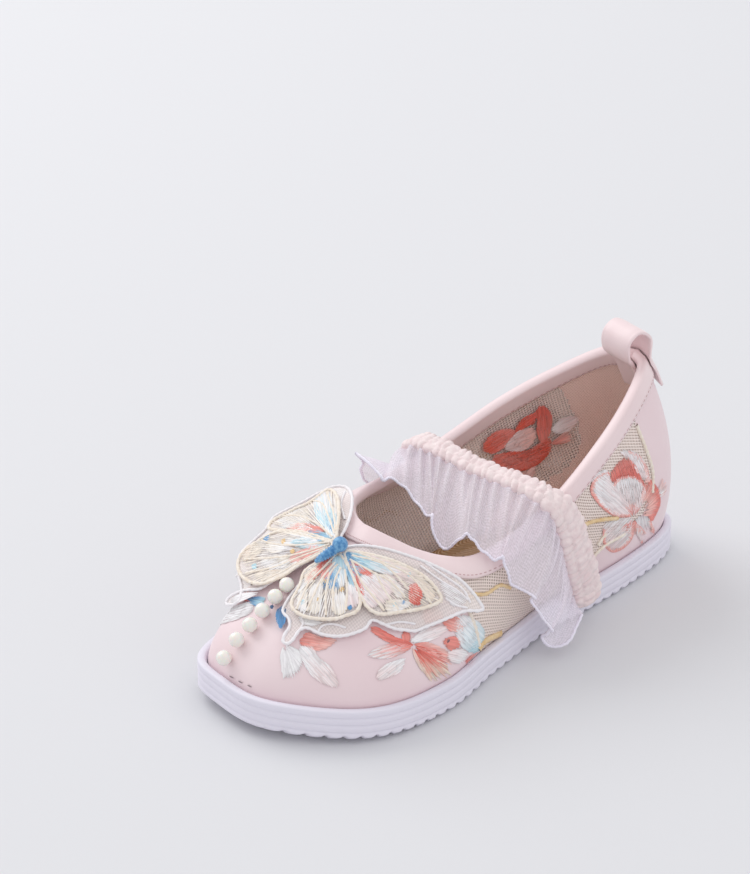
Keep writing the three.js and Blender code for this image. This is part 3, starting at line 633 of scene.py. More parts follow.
cream_cord = Finish("cream_cord", Roughness=0.6, Sheen_Weight=0.2)
cream_cord.feed(cream_cord.shader, "Base Color",
                cream_cord.mix(cream_cord.noise(700).above(0.5, 0.3), "efdfcd", "faf2e8"))
white_cord = Finish("white_cord", Roughness=0.55, Sheen_Weight=0.2, Base_Color="f5f1f4")
gold_cord = Finish("gold_cord", Roughness=0.5, Sheen_Weight=0.2)
gold_cord.feed(gold_cord.shader, "Base Color",
               gold_cord.mix(gold_cord.noise(500).above(0.5, 0.3), "e3bd83", "f3dcb4"))
lilac_cord = Finish("lilac_cord", Roughness=0.55, Base_Color="f3eefb")
blue_thread = Finish("blue_thread", Roughness=0.5, Sheen_Weight=0.2)
blue_thread.feed(blue_thread.shader, "Base Color",
                 blue_thread.mix(blue_thread.noise(900).above(0.5, 0.2), "3f7fb8", "7db4dc"))
dark_thread = Finish("dark_thread", Roughness=0.8, Base_Color="3c3236")

pearl_finish = Finish("pearl", Base_Color="f4f0e8", Roughness=0.28, Coat_Weight=1.0,
                      Coat_Roughness=0.08, Subsurface_Weight=0.15, Subsurface_Scale=0.001)

bed = Finish("foot_bed", Roughness=0.9)
x, y, z = bed.axes("Object")
slant = (x + y * 0.5).wave(0.0013)
bed.feed(bed.shader, "Base Color", bed.mix(slant, "c8a684", "dcc1a2"))
bed.bump(slant, 0.3, 0.6)
bed_border = Finish("herringbone", Roughness=0.9)
x, y, z = bed_border.axes("Object")
bones = (x + (y.wave(0.008)) * 0.004).wave(0.0016)
bed_border.feed(bed_border.shader, "Base Color", bed_border.mix(bones, "b98f66", "dbbd97"))
bed_border.bump(bones, 0.4, 0.8)
brown_print = Finish("brown_print", Roughness=0.9, Base_Color="5a3a2c")
print("small finishes ready")

# %% [markdown]
# The sole is one moulded cup. Its side has four soft ribs, and grooves run across the tread
# and come out at the side, which gives the lower edge its row of small teeth. Both sides of
# the outline share the same places along the shoe, so the flat underside can be a plain grid
# that meets the side corner by corner.

# %% Sole
SOLE_STEPS = 420
RIB_EDGES = (0.0, 2.8, 5.6, 8.2, 11.0)
RIB_HOLLOW = 0.55


def sole_station(u):
    """Station for a share u of the way round, with the same x on both sides."""
    turn = 2 * np.pi * np.where(u <= 0.5, u, 1 - u)
    x = -np.cos(turn) * LENGTH / 2
    shares = [np.interp(x, points[:, 0], run) / run[-1] for points, run in SIDE_LINES]
    return np.where(u <= 0.5, shares[0], 2 - shares[1])


def notch(x):
    """1 in the middle of a tread groove, 0 on the teeth between them."""
    away = np.abs(np.mod(x / TREAD_PITCH, 1) - 0.5) * TREAD_PITCH
    return np.clip(1 - (away / 1.25) ** 1.3, 0, 1) * (np.abs(x) < LENGTH / 2 - 4)


def side_profile():
    """Heights and insets up the side, over the rim and down into the cup."""
    rows = [(0.0, LOWER_INSET), (0.35, 1.1), (0.9, 0.6)]
    for low, high in zip(RIB_EDGES[:-1], RIB_EDGES[1:]):
        for t in np.linspace(0.06, 0.94, 8):
            z = low + (high - low) * t
            if z > 1.2:
                rows.append((z, 0.1 + RIB_HOLLOW * abs(2 * t - 1) ** 5))
    rows += [(RIM_HEIGHT - 0.12, 0.75), (RIM_HEIGHT, 1.2), (RIM_HEIGHT, RIM_TOP_WALL),
             (RIM_HEIGHT - 0.4, RIM_WALL - 0.5), (FLOOR_HEIGHT, RIM_WALL)]
    return np.array(rows)


PROFILE = side_profile()


def sole_side(u, v):
    k = np.round(v * (len(PROFILE) - 1)).astype(int)
    level, inset = PROFILE[k].T
    flat, _ = edge(sole_station(u), inset)
    cut = notch(flat[:, 0])
    fade = np.clip(1 - level / 2.4, 0, 1)
    flat, _ = edge(sole_station(u), inset + 0.7 * cut * fade)
    z = lift(flat[:, 0]) + level + TREAD_DEPTH * cut * fade
    return np.column_stack([flat, z])


def sole_floor(level, inset, grooved):
    def place(u, v):
        cut = notch(edge(sole_station(u / 2), np.full(len(u), inset))[0][:, 0]) * grooved
        ends = [edge(sole_station(side), inset + 0.7 * cut)[0] for side in (u / 2, 1 - u / 2)]
        flat = ends[0] * (1 - v[:, None]) + ends[1] * v[:, None]
        return np.column_stack([flat, lift(flat[:, 0]) + level + TREAD_DEPTH * cut])
    return place


bm = bmesh.new()
add_sheet(bm, 2 * SOLE_STEPS, len(PROFILE) - 1, sole_side)
add_sheet(bm, SOLE_STEPS, 6, sole_floor(0, LOWER_INSET, 1))
add_sheet(bm, SOLE_STEPS, 2, sole_floor(FLOOR_HEIGHT, RIM_WALL, 0))
sole = mesh_object("sole_with_teeth", bm, [rubber], merge=0.02)
dress(sole, "outsole", "outsole")

# %% [markdown]
# The upper is a closed wall: up the outside, over the collar's edge and down the inside. Its
# quarters are net. The edge of the net is drawn on the picture of the real shoe and carried
# to the cloth, and the other quarter takes its mirror image. The two skins of the wall come
# close together there, since net is thin.

# %% Edge of the net
NET_EDGE = [(450, 571), (461, 592), (474, 625), (484, 653), (510, 640), (547, 611),
            (575, 580), (600, 549), (624, 534), (642, 514), (652, 492), (652, 470),
            (645, 448), (636, 425)]
net_line = np.array([spot(x, y) for x, y in rounded(np.array(NET_EDGE, float), 4)])
net_zone = np.vstack([(net_line[0, 0], 1.02), net_line, (net_line[-1, 0], 1.02)])


def inside(zone, s, v):
    """True where points lie in a closed outline."""
    found = np.zeros(np.shape(s), bool)
    for (x0, y0), (x1, y1) in zip(zone, np.roll(zone, -1, 0)):
        if y0 != y1:
            crosses = (y0 > v) != (y1 > v)
            found ^= crosses & (s < (x1 - x0) * (v - y0) / (y1 - y0) + x0)
    return found


def in_net(s, v):
    s = np.mod(s, 2)
    return inside(net_zone, np.where(s <= 1, s, 2 - s), v)


net_mask = in_net(GRID_S, np.minimum(GRID_V, 0.99)).astype(float)
for _ in range(3):
    net_mask = (net_mask + np.roll(net_mask, 1, 0) + np.roll(net_mask, -1, 0)) / 3
    lower, higher = np.roll(net_mask, 1, 1), np.roll(net_mask, -1, 1)
    lower[:, 0], higher[:, -1] = net_mask[:, 0], net_mask[:, -1]
    net_mask = (net_mask + lower + higher) / 3
print("stations of the net:", np.round(net_line[:, 0].min(), 3), np.round(net_line[:, 0].max(), 3))

# %% Upper
UPPER_ROWS = 44
NET_THICKNESS = 0.45
RIB_LENGTH = np.linalg.norm(np.diff(CLOTH.reshape(FINE + 1, LEVELS + 1, 3), axis=1),
                            axis=2).sum(1)


def wall(s, v):
    """Thickness of the wall."""
    i = np.clip(np.round(np.mod(s, 2) / 2 * FINE).astype(int), 0, FINE)
    j = np.clip(np.round(v * LEVELS).astype(int), 0, LEVELS)
    return WALL + (NET_THICKNESS - WALL) * net_mask[i, j]


def upper_shares(w):
    """Height share on the rib, and 1 on the inside, for a share w of the whole profile."""
    return np.where(w <= 0.5, w * 2, np.clip(2 - 2 * w, 0, 1)), (w > 0.5).astype(float)


def upper_wall(u, w):
    v, within = upper_shares(w)
    point, _, normal = surface(u * 2, v)
    return point - normal * (within * wall(u * 2, v))[:, None]


def upper_chart(u, w):
    v, within = upper_shares(w)
    length = np.interp(np.mod(u, 1), np.linspace(0, 1, FINE + 1), RIB_LENGTH)
    return np.column_stack([u * 470, v * length])


def upper_material(u, w):
    v, within = upper_shares(w)
    return np.where(in_net(u * 2, v), 1, np.where(within > 0, 2, 0))


bm = bmesh.new()
add_sheet(bm, FINE, 2 * UPPER_ROWS, upper_wall, upper_chart, upper_material)
bmesh.ops.remove_doubles(bm, verts=bm.verts, dist=0.01)
rims = [e for e in bm.edges if e.is_boundary]
bmesh.ops.bridge_loops(bm, edges=rims)
upper = mesh_object("embroidered_upper", bm, [satin, net, lining], merge=0)
dress(upper, "satin", "upper")

# %% [markdown]
# A satin tape is folded over the collar's edge. Its back is round, its legs are slightly
# padded, and one line of stitches runs along its lower edge, with the small puckers that a
# sewing machine leaves beside each stitch.

# %% Collar tape
TAPE_FAR = GAP + TAPE_THICKNESS


def tape_section():
    """Share of the leg, distance off the wall's middle face and rise over the edge."""
    outer = [(0.0, GAP + 0.15, 0), (0.0, TAPE_FAR - 0.15, 0), (0.1, TAPE_FAR, 0)]
    outer += [(t, TAPE_FAR + 0.12 * math.sin(math.pi * t), 0) for t in (0.3, 0.5, 0.7, 0.9)]
    middle, half = -WALL / 2, WALL / 2 + TAPE_FAR
    back = [(1, middle + half * math.cos(a), TAPE_FAR * 0.95 * math.sin(a))
            for a in np.linspace(0, math.pi, 9)]
    inner = [(share, -WALL - distance, rise) for share, distance, rise in reversed(outer)]
    # under the fold the section runs back over the wall's own edge, so the tape is closed
    # without a face through the wall
    leg = [(share, GAP + 0.1, 0) for share in (0.9, 0.7, 0.5, 0.3, 0.1)]
    under = [(share, -WALL - distance, 0) for share, distance, _ in reversed(leg)]
    under += [(1, -WALL - GAP * 0.8, 0), (1, middle, GAP * 0.8), (1, GAP * 0.8, 0)]
    under += leg + [(0.0, GAP + 0.15, 0)]
    return np.array(outer + back + inner + under)


TAPE = tape_section()


def collar(u, v):
    share, distance, rise = TAPE[np.round(v * (len(TAPE) - 1)).astype(int)].T
    s = u * 2
    start = tape_start(s, TAPE_WIDTH)
    point, _, normal = surface(s, start + (1 - start) * share)
    over = surface(s, np.ones(len(s)))[1]
    pucker = 0.07 * np.sin(u * 181 * 2 * np.pi) * np.exp(-((share - 0.14) / 0.12) ** 2)
    return (point + normal * (distance + np.sign(distance) * pucker)[:, None]
            + over * rise[:, None])


bm = bmesh.new()
add_sheet(bm, 720, len(TAPE) - 1, collar, (470, 20))
bmesh.ops.remove_doubles(bm, verts=bm.verts, dist=0.01)
print("open edges of the tape:", sum(e.is_boundary for e in bm.edges))
collar_tape = mesh_object("collar_tape", bm, [tape], merge=0)
dress(collar_tape, "satin_tape", "collar_binding")

# %% [markdown]
# The foot bed is a thin pad with a bevelled edge. It has a woven herringbone border and a
# traditional fretwork print in its middle. The print is laid on as thin strips, so that its
# corners stay sharp.

# %% Foot bed
BORDER = 6.5


def bed_side(u, v):
    rows = np.array([(0, 0), (INSOLE_THICKNESS - INSOLE_BEVEL, 0),
                     (INSOLE_THICKNESS - 0.3, 0.3), (INSOLE_THICKNESS, INSOLE_BEVEL),
                     (INSOLE_THICKNESS, BORDER)])
    level, inset = rows[np.round(v * 4).astype(int)].T
    flat, _ = edge(sole_station(u), INSOLE_INSET + 0.1 + inset)
    return np.column_stack([flat, lift(flat[:, 0]) + UPPER_FOOT + level])


bm = bmesh.new()
add_sheet(bm, 240, 4, bed_side, (470, 12), lambda u, v: np.where(v > 0.5, 1, 0))
add_sheet(bm, 120, 4, sole_floor(UPPER_FOOT, INSOLE_INSET + 0.1, 0))
add_sheet(bm, 120, 12, sole_floor(UPPER_FOOT + INSOLE_THICKNESS,
                                  INSOLE_INSET + 0.1 + BORDER, 0))
foot_bed = mesh_object("foot_bed", bm, [bed, bed_border], merge=0.02)
dress(foot_bed, "insole", "insole")

KEY = [((0, 0), (0, 5)), ((0, 5), (5, 5)), ((5, 5), (5, 1.4)), ((5, 1.4), (1.8, 1.4)),
       ((1.8, 1.4), (1.8, 3.4)), ((1.8, 3.4), (3.4, 3.4)), ((0, 0), (6.6, 0))]
KEY_PITCH, STROKE = 6.6, 0.8
bm = bmesh.new()
for column_ in range(-12, 13):
    for row_ in range(-5, 6):
        for (x0, y0), (x1, y1) in KEY:
            flip = 1 if row_ % 2 else -1
            ends = np.array([(x0, y0 * flip), (x1, y1 * flip)]) + (
                column_ * KEY_PITCH, row_ * KEY_PITCH + 2)
            middle = ends.mean(0)
            outer = np.interp(middle[0], SIDE_LINES[0][0][:, 0], SIDE_LINES[0][0][:, 1])
            inner = np.interp(middle[0], SIDE_LINES[1][0][:, 0], SIDE_LINES[1][0][:, 1])
            margin = INSOLE_INSET + BORDER + 3
            if not inner + margin < middle[1] < outer - margin or abs(middle[0]) > 76:
                continue
            size = np.abs(ends[1] - ends[0]) + STROKE
            z = float(lift(middle[0])) + UPPER_FOOT + INSOLE_THICKNESS + 0.05
            matrix = (Matrix.Translation((middle[0], middle[1], z))
                      @ Matrix.Diagonal((size[0], size[1], 0.12, 1)))
            bmesh.ops.create_cube(bm, size=1, matrix=matrix)
fretwork = mesh_object("bed_fretwork", bm, [brown_print], merge=0)
dress(fretwork, "insole")

# %% [markdown]
# The pull loop is one folded band of satin: up the heel, over in a bow, and down the inside.
# A family of curves runs along it, and the section between them has rounded edges.


# %% Pull loop
def through(points, count):
    """Centripetal curve through the points, at even steps of its length."""
    p = np.array(points, float)
    p = np.vstack([2 * p[0] - p[1], p, 2 * p[-1] - p[-2]])
    made = []
    for k in range(1, len(p) - 2):
        a, b, c, d = p[k - 1:k + 3]
        da, db, dc = (max(np.linalg.norm(q - r), 1e-6) ** 0.5 for q, r in
                      ((b, a), (c, b), (d, c)))
        m1 = ((b - a) / da - (c - a) / (da + db) + (c - b) / db) * db
        m2 = ((c - b) / db - (d - b) / (db + dc) + (d - c) / dc) * db
        t = (np.arange(60) / 60)[:, None]
        made.append((2 * t ** 3 - 3 * t ** 2 + 1) * b + (t ** 3 - 2 * t ** 2 + t) * m1
                    + (3 * t ** 2 - 2 * t ** 3) * c + (t ** 3 - t ** 2) * m2)
    made.append(p[-2:-1])
    return resample(np.vstack(made), count)


def beside_heel(y, below, distance):
    """Point on the heel at a length below the collar's edge and at one side."""
    stations = np.linspace(0, 0.25, 400) * (1 if y >= 0 else -1)
    shares = tape_start(stations, below)
    points = surface(stations, shares)[0]
    k = int(np.argmin(np.abs(points[:, 1] - y)))
    return offset(stations[k:k + 1], shares[k:k + 1], np.array([distance]))[0]


LOOP_OFF = TAPE_FAR + 1.5 * GAP + LOOP_THICKNESS / 2
heel_top, heel_up, heel_out = (part[0] for part in surface([0.0], [1.0]))
LOOP_ROWS = 90


def loop_line(y):
    half = LOOP_OFF + WALL / 2

    def bow(distance, share):
        point = heel_top + heel_out * distance + heel_up * LOOP_RISE * share
        return np.array((point[0], y, point[2]))
    low = [beside_heel(y, below * LOOP_SEWN, LOOP_OFF) for below in (1, 0.5, 0)]
    back = [beside_heel(y, below * LOOP_SEWN, -WALL - LOOP_OFF) for below in (0, 0.5, 1)]
    top = [bow(LOOP_OFF + half * 0.5, 0.5), bow(half * 0.7 - WALL / 2, 0.92),
           bow(-half * 0.9 - WALL / 2, 0.92), bow(-WALL - LOOP_OFF - half * 0.9, 0.5)]
    return through(low + top + back, LOOP_ROWS + 1)


LOOP_LINES = np.array([loop_line(side * LOOP_WIDTH / 2 * 0.96)
                       for side in np.linspace(-1, 1, 9)])


def pull_loop_skin(u, v):
    k = np.round(u * LOOP_ROWS).astype(int)
    turn = 2 * np.pi * v
    across = np.sign(np.cos(turn)) * np.abs(np.cos(turn)) ** 0.35
    thick = np.sign(np.sin(turn)) * np.abs(np.sin(turn)) ** 0.6
    at = (across + 1) / 2 * 8
    i = np.clip(at.astype(int), 0, 7)
    t = (at - i)[:, None]
    point = LOOP_LINES[i, k] * (1 - t) + LOOP_LINES[i + 1, k] * t
    tangent = np.gradient(LOOP_LINES, axis=1)[i, k] * (1, 0, 1)
    normal = unit(np.cross(tangent, (0, 1.0, 0)))
    seam = 0.12 * np.exp(-((np.abs(across) - 0.8) / 0.07) ** 2)
    return point + normal * (thick * (LOOP_THICKNESS / 2 - seam) * 0.96)[:, None]


bm = bmesh.new()
add_sheet(bm, LOOP_ROWS, 44, pull_loop_skin, (70, 30))
bmesh.ops.remove_doubles(bm, verts=bm.verts, dist=0.005)
bmesh.ops.holes_fill(bm, edges=[e for e in bm.edges if e.is_boundary])
pull_loop = mesh_object("heel_loop", bm, [tape], merge=0)
dress(pull_loop, "satin_tape", "heel_pull_loop")

# %% [markdown]
# The strap is a sleeve of crepe gathered on elastic. Two sewn rows divide it in three lanes,
# and the cloth swells between its stitches, half a step later in each lane. The path runs
# from the outer seam up the side, over the instep, and down the inner side.

# %% Strap's path
CROWN = ((0.15, 0.52, 0.80), (0.50, 0.70, 0.80), (0.76, 0.60, 0.95), (0.92, 0.30, 0.70))
STRAP_HALF = STRAP_THICKNESS / 2 + STRAP_FOLD_DEPTH


def strap_side(foot, top, side):
    def station(share):
        return np.array([share if side > 0 else 2 - share])
    points = []
    for level in (0.62, 1.25):
        flat, _ = edge(station(foot), np.array([-GAP - STRAP_HALF]))
        points.append((*flat[0], lift(flat[0, 0]) + RIM_HEIGHT * level))
    for v in (0.5, 0.75, 1):
        distance = TAPE_FAR + GAP + STRAP_HALF
        points.append(offset(station(foot + (top - foot) * v), np.array([v]), [distance])[0])
    return [np.array(p, float) for p in points]


outer_side, inner_side = strap_side(0.315, 0.385, 1), strap_side(0.360, 0.425, -1)[::-1]
crown = [outer_side[-1] * (1 - t) + inner_side[0] * t
         + np.array((ahead * STRAP_RISE, 0, rise * STRAP_RISE)) for t, ahead, rise in CROWN]
STRAP_ROWS = 560
STRAP = through(outer_side + crown + inner_side, STRAP_ROWS + 1)
STRAP_LENGTH = along(STRAP)[1]
STRAP_WAY = unit(np.gradient(STRAP, axis=0))
STRAP_AHEAD = unit(np.array((1, 0, 0)) - STRAP_WAY * STRAP_WAY[:, :1])
STRAP_OFF = np.cross(STRAP_WAY, STRAP_AHEAD)
share = np.linspace(0, 1, STRAP_ROWS + 1)
t = np.clip((np.abs(2 * share - 1) - 0.1) / 0.7, 0, 1)
STRAP_SPREAD = (STRAP_CROWN_WIDTH + (STRAP_WIDTH - STRAP_CROWN_WIDTH)
                * t * t * (3 - 2 * t)) / 2
print("strap length in mm:", round(STRAP_LENGTH, 1))

# %% Strap
GATHERS = round(STRAP_LENGTH / 3.1)


def strap_skin(u, v):
    k = np.round(u * STRAP_ROWS).astype(int)
    turn = 2 * np.pi * v
    across = np.cos(turn)
    lane = np.where(across > 0.34, 0.3, np.where(across < -0.34, -0.2, 0.0))
    sway = 0.16 * np.sin(u * 61 + across * 3) + 0.1 * np.sin(u * 143 + 2)
    beat = np.abs(np.sin(np.pi * (u * GATHERS + lane + sway + across * 0.25)))
    lobe = beat ** 0.65
    sewn = np.exp(-((np.abs(across) - 0.34) / 0.09) ** 2)
    swell = 1 + 0.3 * np.sin(u * 97 + across * 2)
    depth = lobe * (1 - 0.55 * sewn) * swell
    face = np.sin(turn)
    section_w = np.sign(across) * np.abs(across) ** 0.8
    width = section_w * (STRAP_SPREAD[k] - STRAP_FOLD_DEPTH + 0.9 * depth)
    height = np.sign(face) * np.abs(face) ** 0.7 * (STRAP_THICKNESS / 2 - 0.5 + 0.85 * depth)
    ends = np.sqrt(np.clip(1 - np.abs(2 * u - 1) ** 60, 0.1, 1))
    return (STRAP[k] + STRAP_AHEAD[k] * (width * ends)[:, None]
            + STRAP_OFF[k] * (height * ends)[:, None])


bm = bmesh.new()
add_sheet(bm, STRAP_ROWS, 64, strap_skin, (STRAP_LENGTH, 36))
bmesh.ops.remove_doubles(bm, verts=bm.verts, dist=0.003)
bmesh.ops.holes_fill(bm, edges=[e for e in bm.edges if e.is_boundary])
strap = mesh_object("ruched_strap", bm, [crepe], merge=0)
dress(strap, "strap_cloth", "instep_strap")

# %% [markdown]
# The frill is a strip of organza, gathered into the strap's front edge. Its free edge is
# longer than its root, so it falls in waves. The free edge is drawn first, as a few points
# in space that were read from the picture, and the cloth is spread between both edges with
# waves that grow toward the free one.

# %% Frill
FRILL_EDGE = table("along x y z",
                   (0.00, -27, 38.0, 8.5), (0.045, -12, 41.5, 5.8), (0.13, -8.6, 42.0, 14.5),
                   (0.22, -5.0, 40.8, 24), (0.30, 0.5, 36.5, 33), (0.38, 4.5, 31.5, 40.5),
                   (0.44, 6.5, 27.0, 44.5), (0.50, 10.5, 19.0, 42.6), (0.555, 12.5, 11.0, 41.9),
                   (0.61, 9.5, 3.0, 46.5), (0.665, 9.0, -6.0, 47.6), (0.73, 13.5, -14.5, 50.0),
                   (0.80, 14.8, -24.0, 55.5), (0.88, 8.0, -34.5, 44.0), (1.00, -19, -39.5, 9.0))
FRILL_COLUMNS, FRILL_ROWS = 420, 26
FRILL_WAVES = 9
FRILL_CUT = 222    # length of the whipped edge, which isn't gathered


def frill_cloth(u, v):
    k = np.clip(np.round((0.012 + 0.976 * u) * STRAP_ROWS).astype(int), 0, STRAP_ROWS)
    root = STRAP[k] + STRAP_AHEAD[k] * (STRAP_SPREAD[k] - 0.6)[:, None]
    free = np.column_stack([smooth(FRILL_EDGE, "along", name, u) for name in "xyz"])
    line = root * (1 - v[:, None]) + free * v[:, None]
    bulge = np.sin(np.pi * v) * 2.2
    deep = 3.1 * np.sin(2 * np.pi * (u * FRILL_WAVES + 0.12 * np.sin(u * 23)))
    # a gathered row has to be as long as the cut, so its small folds are deepest at the root
    gather = 1.15 * np.clip(v * 14, 0.25, 1) * (1 - 0.72 * v) ** 0.8
    small = gather * np.sin(2 * np.pi * (u * 31 + 0.15 * np.sin(u * 40) + v * 0.3))
    wave = deep * v ** 1.2 + small
    off = STRAP_OFF[k] * (bulge + wave)[:, None]
    side = STRAP_WAY[k] * (1.4 * v * np.cos(2 * np.pi * u * FRILL_WAVES))[:, None]
    return line + off + side


bm = bmesh.new()
add_sheet(bm, FRILL_COLUMNS, FRILL_ROWS, frill_cloth, (FRILL_CUT, FRILL_DEPTH))
frill_area = sum(face.calc_area() for face in bm.faces)
frill = mesh_object("organza_frill", bm, [organza], turn=False, merge=0)
dress(frill, "organza", "strap_ruffle")

steps = np.linspace(0, 1, 900)
free_line = frill_cloth(steps, np.ones(900))
bm = bmesh.new()
tube(bm, free_line, STRAP_OFF[np.round(steps * STRAP_ROWS).astype(int)], 0.95, 0.95, 6,
     twist=1, pitch=1.3, depth=0.2)
frill_edge = mesh_object("frill_whipped_edge", bm, [lilac_cord])
dress(frill_edge, "organza")
print("free edge in mm:", round(along(free_line)[1], 1),
      "cloth area over cut area:", round(frill_area / (FRILL_DEPTH * FRILL_CUT), 3))

# %% [markdown]
# The butterfly's wings are light sheets that stand over the toe on their own height. The
# sheet is high over its root, bends down on both sides, and never comes closer to the toe
# than a small gap. Motifs are drawn in picture points and cast on this height.

# %% Height of the wings
WING_X, WING_Y = np.arange(4.0, 88, 1), np.arange(-36.0, 50, 1)
ground = np.array([[upper_canvas.below(x, y) for y in WING_Y] for x in WING_X])
ground = np.maximum(ground, np.roll(ground, 1, 0))
grid_x, grid_y = np.meshgrid(WING_X, WING_Y, indexing="ij")
droop = np.where(grid_y > 0, WING_DROOP, WING_DROOP_INNER)
free = WING_CREST - WING_BEND * (grid_x - WING_CREST_X) ** 2 - droop * grid_y ** 2
near_tape = np.exp(-((grid_x - 36) / 6) ** 2) * (np.abs(grid_y) < 16)
wing_ground = np.maximum(free, ground + WING_GAP + 1.3 * near_tape)
for _ in range(2):
    wing_ground[1:-1] = (wing_ground[:-2] + wing_ground[1:-1] * 2 + wing_ground[2:]) / 4
    wing_ground[:, 1:-1] = (wing_ground[:, :-2] + wing_ground[:, 1:-1] * 2
                            + wing_ground[:, 2:]) / 4


def wing_canvas(above):
    points = np.column_stack([grid_x.ravel(), grid_y.ravel(), wing_ground.ravel() + above])
    return Canvas(points, len(WING_X) - 1, len(WING_Y) - 1)


under_canvas, top_canvas = wing_canvas(0.5), wing_canvas(LAYER + 0.5)

# %% [markdown]
# A wing's outline is read from the picture. The sheet is a fine grid cut along that outline:
# faces outside are deleted and the corners left at the edge move onto the line.


# %% Cutting a sheet
def cut_sheet(bm, canvas, outline_, pitch=1.0):
    line, _ = canvas.line(outline_, step=2)
    flat = line[:, :2]
    low, high = flat.min(0) - 1, flat.max(0) + 1
    columns, rows = np.ceil((high - low) / pitch).astype(int)

    def place(u, v):
        xy = low + np.column_stack([u, v]) * (high - low)
        return np.column_stack([xy, np.zeros(len(u))])
    made = add_sheet(bm, columns, rows, place, tuple(high - low))
    faces = list({face: None for vert in made for face in vert.link_faces})
    middles = np.array([face.calc_center_median()[:2] for face in faces])
    keep = inside(flat, middles[:, 0], middles[:, 1])
    bmesh.ops.delete(bm, geom=[f for f, k in zip(faces, keep) if not k], context="FACES")
    fine = resample(line, 500)
    for vert in [v for v in made if v.is_valid]:
        if vert.is_boundary:
            near = np.argmin(np.sum((fine[:, :2] - np.array(vert.co[:2])) ** 2, 1))
            vert.co.x, vert.co.y = fine[near, :2]
        vert.co.z = canvas.below(vert.co.x, vert.co.y)
    loop = line - line.mean(0)
    return np.linalg.norm(np.cross(loop, np.roll(loop, -1, 0)).sum(0)) / 2


UNDER_OUTER = [(340, 552), (350, 547), (365, 546), (385, 549), (405, 555), (425, 562),
               (445, 571), (460, 580), (472, 592), (480, 603), (483, 609), (478, 611),
               (465, 611), (450, 617), (438, 622), (425, 627), (415, 631), (404, 630),
               (395, 629), (385, 625), (372, 620), (366, 628), (355, 633), (343, 636),
               (330, 636), (318, 633), (308, 628), (300, 630), (293, 640), (288, 644),
               (283, 642), (285, 634), (290, 627), (289, 618), (283, 610), (300, 585),
               (340, 552)]
UNDER_INNER = [(334, 548), (300, 566), (272, 582), (260, 589), (250, 590), (240, 592),
               (230, 597), (226, 604), (233, 605), (240, 600), (242, 588), (239, 574),
               (240, 556), (254, 541), (266, 530), (275, 517), (302, 503), (320, 493),
               (334, 487), (347, 488), (352, 497), (351, 513), (346, 528), (340, 538),
               (334, 548)]
FORE_OUTER = [(345, 553), (360, 553), (375, 556), (390, 560), (405, 566), (420, 574),
              (430, 582), (438, 592), (441, 600), (430, 606), (415, 610), (400, 612),
              (388, 614), (378, 614), (368, 608), (363, 600), (358, 590), (352, 575),
              (345, 553)]
HIND_OUTER = [(338, 553), (323, 561), (312, 566), (304, 573), (301, 583), (297, 592), (292, 601), (293, 609),
              (303, 616), (318, 619), (335, 619), (345, 616), (357, 611), (360, 598),
              (352, 575), (338, 553)]
HIND_INNER = [(333, 544), (320, 540), (305, 536), (290, 532), (278, 532), (268, 536),
              (258, 542), (248, 548), (241, 556), (238, 565), (241, 575), (250, 582),
              (262, 584), (275, 580), (287, 574), (298, 566), (310, 560), (325, 552),
              (333, 544)]
FORE_INNER = [(334, 541), (337, 530), (339, 515), (338, 500), (334, 492), (328, 490),
              (318, 497), (308, 504), (298, 508), (288, 513), (278, 518), (271, 523),
              (269, 529), (285, 531), (300, 532), (315, 536), (334, 541)]
bm = bmesh.new()
under_area = sum(cut_sheet(bm, under_canvas, outline_)
                 for outline_ in (UNDER_OUTER, UNDER_INNER))
print("under wings, cloth over cut:",
      round(sum(face.calc_area() for face in bm.faces) / under_area, 3))
under_wings = mesh_object("under_wings", bm, [wing_cloth], turn=False, merge=0)
dress(under_wings, "wing_cloth", "butterfly_under_wings")
bm = bmesh.new()
upper_area = sum(cut_sheet(bm, top_canvas, outline_, 0.8)
                 for outline_ in (FORE_OUTER, HIND_OUTER, HIND_INNER, FORE_INNER))
print("upper wings, cloth over cut:",
      round(sum(face.calc_area() for face in bm.faces) / upper_area, 3))
upper_wings = mesh_object("upper_wings", bm, [wing_cloth], turn=False, merge=0)
dress(upper_wings, "wing_cloth", "butterfly_upper_wings")
print("area of the wings in mm2:", round(under_area), round(upper_area))

# %% [markdown]
# Cords outline the wings and their cells. Each cord is a tube with wound strands that lies
# half sunk in the sheet.


# %% Cords
def above_rim(places, spare):
    """True where places lie clear of the sole's rim, which hides the foot of the upper."""
    return places[:, 2] > lift(places[:, 0]) + RIM_HEIGHT + spare


def cord(bm, canvas, points, width, raised=0.2, mirrored=False, twist=2, pitch=2.2):
    line, normals = canvas.line(points, mirrored, 1.3)
    smooth_ = normals.copy()
    for _ in range(4):
        smooth_[1:-1] = (smooth_[:-2] + smooth_[1:-1] * 2 + smooth_[2:]) / 4
        line[1:-1] = (line[:-2] + line[1:-1] * 2 + line[2:]) / 4
    line, smooth_ = line + unit(smooth_) * raised, unit(smooth_)
    clear = above_rim(line, width * 0.6)
    cuts = np.flatnonzero(np.diff(clear.astype(int))) + 1
    for run in np.split(np.arange(len(line)), cuts):
        if clear[run[0]] and len(run) > 3:
            tube(bm, line[run], smooth_[run], width, width * 0.8, 6,
                 twist=twist, pitch=pitch, depth=0.2)


